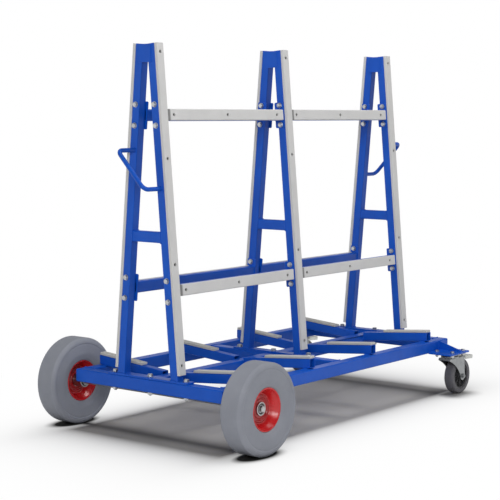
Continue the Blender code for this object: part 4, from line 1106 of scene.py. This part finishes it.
def lay_beads(name, lines, radius):
    """One piece with a bead along each line of points."""
    piece = run_tree(new_curve(lines), BEADS, Radius=radius, Pitch=0.0042, Finish=BLUE_PAINT)
    return dressed(piece, name, BLUE_PAINT, "frame", angle=60)


def about(middle, reach):
    return middle - reach, middle + reach


def straight(x, y, z):
    """A line's two ends, where each of x, y and z is one value or a pair of values."""
    return list(zip(*(value if isinstance(value, tuple) else (value, value) for value in (x, y, z))))


def round_joint(x, half, low, high):
    """A closed line round a joint, from its middle, half its width and its two edges in y and z."""
    return [(x - half, *low), (x + half, *low), (x + half, *high), (x - half, *high), (x - half, *low)]


def frame_welds():
    """Beads on the A-frames: posts to foot bar, crossbar to posts and top plate to posts."""
    lines = []
    post = POST_WIDTH / 2
    depth = POST_DEPTH / math.cos(LEAN)
    for x in FRAME_PLACES:
        for side in (NEAR, FAR):
            outer = face_reach(FOOT_TOP)
            low, high = sorted((side * outer, side * (outer - depth)))
            lines.append(round_joint(x, post, (low, FOOT_TOP), (high, FOOT_TOP)))
            ends = [(side * (face_reach(height) - depth), height)
                    for height in (CROSSBAR_LOW, CROSSBAR_HIGH)]
            lines.append(round_joint(x, CROSSBAR_WIDTH / 2, *ends))
            lines.append(straight(x - post, side * TOP_PLATE_EDGE, (TOP_PLATE_HIGH, TOP_PLATE_LOW)))
    lay_beads("a_frame_welds", lines, radius=0.0030)


def rail_welds():
    """Beads where the rails' tubes meet their end plates."""
    lines = []
    reach = (FRAME_PITCH - POST_WIDTH) / 2 - FIT - PLATE_THICK
    across, up = RAIL_DEPTH / 2, RAIL_HEIGHT / 2
    for side in (NEAR, FAR):
        for height in (UPPER_RAIL, LOWER_RAIL):
            for x in (-FRAME_PITCH / 2, FRAME_PITCH / 2):
                for end in (-reach, reach):
                    middle = shift((side * x + end, -STRIP_THICK - FIT - across, up_slope(height)))
                    place = slab_face(side) @ middle @ turn(QUARTER, "Y")
                    lines.append([tuple(place @ Vector(point))
                                  for point in round_joint(0, up, (-across, 0), (across, 0))])
    lay_beads("rail_welds", lines, radius=0.0024)


def base_welds():
    """Beads on the base frame: tubes to rails, bearers to spines, brackets and gussets."""
    lines = []
    half = BASE_TUBE / 2
    middle = BASE_BOTTOM + half
    corner = half - 0.002
    upright = about(middle, corner)
    end_x = half - FRAME_PITCH
    root = BASE_TOP + FIT - (BASE_INNER - half) * math.tan(LEAN)
    half_gusset, gusset_top, gusset_reach = 0.004, 0.2740, 0.129
    for side in (NEAR, FAR):
        outer, inner = side * BASE_HALF_WIDTH, side * BASE_INNER
        on_rail = (side * (BASE_INNER + 0.002), side * (BASE_INNER + 0.030))
        over_rail = about(side * (BASE_HALF_WIDTH - half), corner)
        lines += [straight(end_x, over_rail, middle + half), straight(end_x, outer, upright),
                  straight(end_x, over_rail, middle - half)]
        for cross in (0, FRAME_PITCH):
            lines += [straight(edge, inner, upright) for edge in about(cross, half)]
            lines.append(straight(about(cross, corner), inner, BASE_TOP - 0.0005))
        for bearer in BEARER_X:
            for edge in about(bearer, 0.020):
                lines.append(straight(edge, side * half, (root + 0.001, BASE_TOP - 0.001)))
                lines.append(straight(edge, on_rail, BASE_TOP))
            lines.append(straight(about(bearer, 0.018), side * half, root))
        lines.append(straight((BRACKET_START, CASTER_X - half_gusset), outer, BRACKET_TOP))
        lines.append(straight((CASTER_X + half_gusset, BRACKET_END), outer, BRACKET_TOP))
        for edge in about(CASTER_X, half_gusset):
            lines.append([(edge, outer, gusset_top), (edge, outer, BRACKET_TOP),
                          (edge, side * (BASE_HALF_WIDTH + gusset_reach), BRACKET_TOP)])
    for x in (-FRAME_PITCH + half, -half, half, FRAME_PITCH - half):
        lines.append(straight(x, about(0, corner), BASE_TOP))
        for side in (NEAR, FAR):
            lines.append(straight(x, side * half, (BASE_BOTTOM + 0.003, BASE_TOP - 0.003)))
    lay_beads("base_welds", lines, radius=0.0030)


def handle_welds():
    """Beads round the handles' feet on the posts."""
    lines = []
    for sign in (-1, 1):
        for y, z in HANDLE_FEET:
            x = sign * (FRAME_PITCH + POST_WIDTH / 2)
            lines.append([(x, *point) for point in arc((sign * y, z), 0.0100, 0, 360, 24)])
    lay_beads("handle_welds", lines, radius=0.0022)


SETTING = setting_tree()
BEADS = bead_tree()
post_strips()
rail_strips()
bearer_pads()
set_fasteners("strip_screws", pan_screw(), screw_places, SCREW_STEEL, QUARTER_TWIST, 17)
handles()
big_wheels()
axle_with_nuts()
casters()
rail_bolts()
foot_bolts()
caster_bolts()
frame_welds()
rail_welds()
base_welds()
handle_welds()


# Floor, light and camera

WHITE = (1, 1, 1, 1)


def contact_shades():
    """Painted shadow patches in the floor: x, y, half sizes, fades, how full, and how deep the shade is."""
    yield AXLE_X, 0, (0.01, 0.50), (0.12, 0.08), 0.5, 0.75
    yield CASTER_X, 0, (0.01, 0.42), (0.10, 0.07), 0.5, 0.60
    for side in SIDES.values():
        yield AXLE_X - 0.01, side * WHEEL_PLANE, (0.0, 0.0), (0.160, 0.080), 1.4, 1.6
        yield CASTER_X + 0.04, side * CASTER_Y, (0.04, 0.02), (0.110, 0.090), 1.0, 0.45


def floor():
    """A pale floor with painted shadow under the buggy and its wheels, which keeps the shadow near the
    buggy and runs out to white.
    """
    reach = 40.0
    mesh = bpy.data.meshes.new("floor")
    mesh.from_pydata([(-reach, -reach, 0), (reach, -reach, 0), (reach, reach, 0), (-reach, reach, 0)],
                     [], [(0, 1, 2, 3)])
    obj = link("floor", mesh)
    made, tree, shader = new_material("pale_floor")
    shader.inputs["Roughness"].default_value = 0.85
    shader.inputs["Specular IOR Level"].default_value = 0.2
    near = use_group(tree, UNDERNEATH, Half_Length=0.93, Half_Width=0.43, Fade_Along=0.20, Fade_Across=0.11)
    # Painted shadow: the floor's colour is darker under the buggy.
    tone = mix_colour(tree, near, (0.80, 0.80, 0.80), (0.52, 0.50, 0.47))
    # Painted shadow patches at the axle, the casters and the wheels' contact.
    for x, y, half, fade, fullness, depth in contact_shades():
        patch = use_group(tree, UNDERNEATH, Half_Length=half[0], Half_Width=half[1], Fade_Along=fade[0],
                          Fade_Across=fade[1], Fullness=fullness, Middle=(x, y, 0.0))
        shade = node_in_order(tree, "ShaderNodeMath", {"operation": "MULTIPLY", "use_clamp": True},
                              maths(tree, "POWER", patch, 1.3), depth).outputs["Value"]
        tone = mix_colour(tree, shade, tone, (0.02, 0.02, 0.02))
        near = maths(tree, "MAXIMUM", maths(tree, "MAXIMUM", near, patch), shade)
    feed(tree, shader.inputs["Base Color"], tone)
    path = tree.nodes.new("ShaderNodeLightPath").outputs
    seen = maths(tree, "MAXIMUM", path["Is Camera Ray"], path["Is Glossy Ray"])
    white_share = maths(tree, "MULTIPLY", maths(tree, "SUBTRACT", 1.0, near), seen)
    white = add_node(tree, "ShaderNodeEmission", Color=WHITE, Strength=1.0)
    blend = node_in_order(tree, "ShaderNodeMixShader", {}, white_share, shader.outputs["BSDF"],
                          white.outputs["Emission"])
    feed(tree, tree.nodes["Material Output"].inputs["Surface"], blend.outputs["Shader"])
    mesh.materials.append(made)


def surroundings():
    """Soft white light from all round, with a plain white background."""
    world = bpy.data.worlds.new("studio")
    bpy.context.scene.world = world
    world.use_nodes = True
    tree = world.node_tree
    tree.nodes.clear()
    path = tree.nodes.new("ShaderNodeLightPath").outputs
    seen = maths(tree, "MAXIMUM", path["Is Camera Ray"], path["Is Transmission Ray"])
    view = tree.nodes.new("ShaderNodeTexCoord").outputs["Generated"]
    level = remap(tree, axes(tree, view)["Z"], 0.0, 0.5, 1.38, 0.13)
    light, white = (add_node(tree, "ShaderNodeBackground", Color=WHITE, Strength=strength)
                    for strength in (level, 1.0))
    both = node_in_order(tree, "ShaderNodeMixShader", {}, seen, light.outputs["Background"],
                         white.outputs["Background"])
    output = tree.nodes.new("ShaderNodeOutputWorld")
    feed(tree, output.inputs["Surface"], both.outputs["Shader"])


def soft_box(name, place, target, size, power):
    """A square area light aimed at a point."""
    data = bpy.data.lights.new(name, "AREA")
    data.shape = "SQUARE"
    data.size = size
    data.energy = power
    obj = link(name, data)
    obj.location = place
    obj.rotation_euler = (Vector(target) - Vector(place)).to_track_quat("-Z", "Y").to_euler()


def photo_camera():
    """The camera at the photograph's place and angle."""
    look_down, heading = 5.319, 38.415
    data = bpy.data.cameras.new("camera")
    data.sensor_width = 36.0
    data.lens = 103.2
    obj = link("camera", data)
    obj.location = (-5.4805, -4.1997, 1.4210)
    obj.rotation_euler = (math.radians(90 - look_down), 0, math.radians(heading - 90))
    bpy.context.scene.camera = obj


floor()
surroundings()
soft_box("overhead", (-0.3, -0.3, 4.8), (0, 0, 0.4), size=1.8, power=64)
soft_box("front_left", (-5.1, -3.2, 3.0), (0, 0, 0.6), size=1.6, power=100)
soft_box("over_front", (0.9, -2.7, 4.4), (-0.2, -0.3, 0.3), size=2.4, power=44)
photo_camera()
bpy.context.scene.view_settings.view_transform = "Standard"
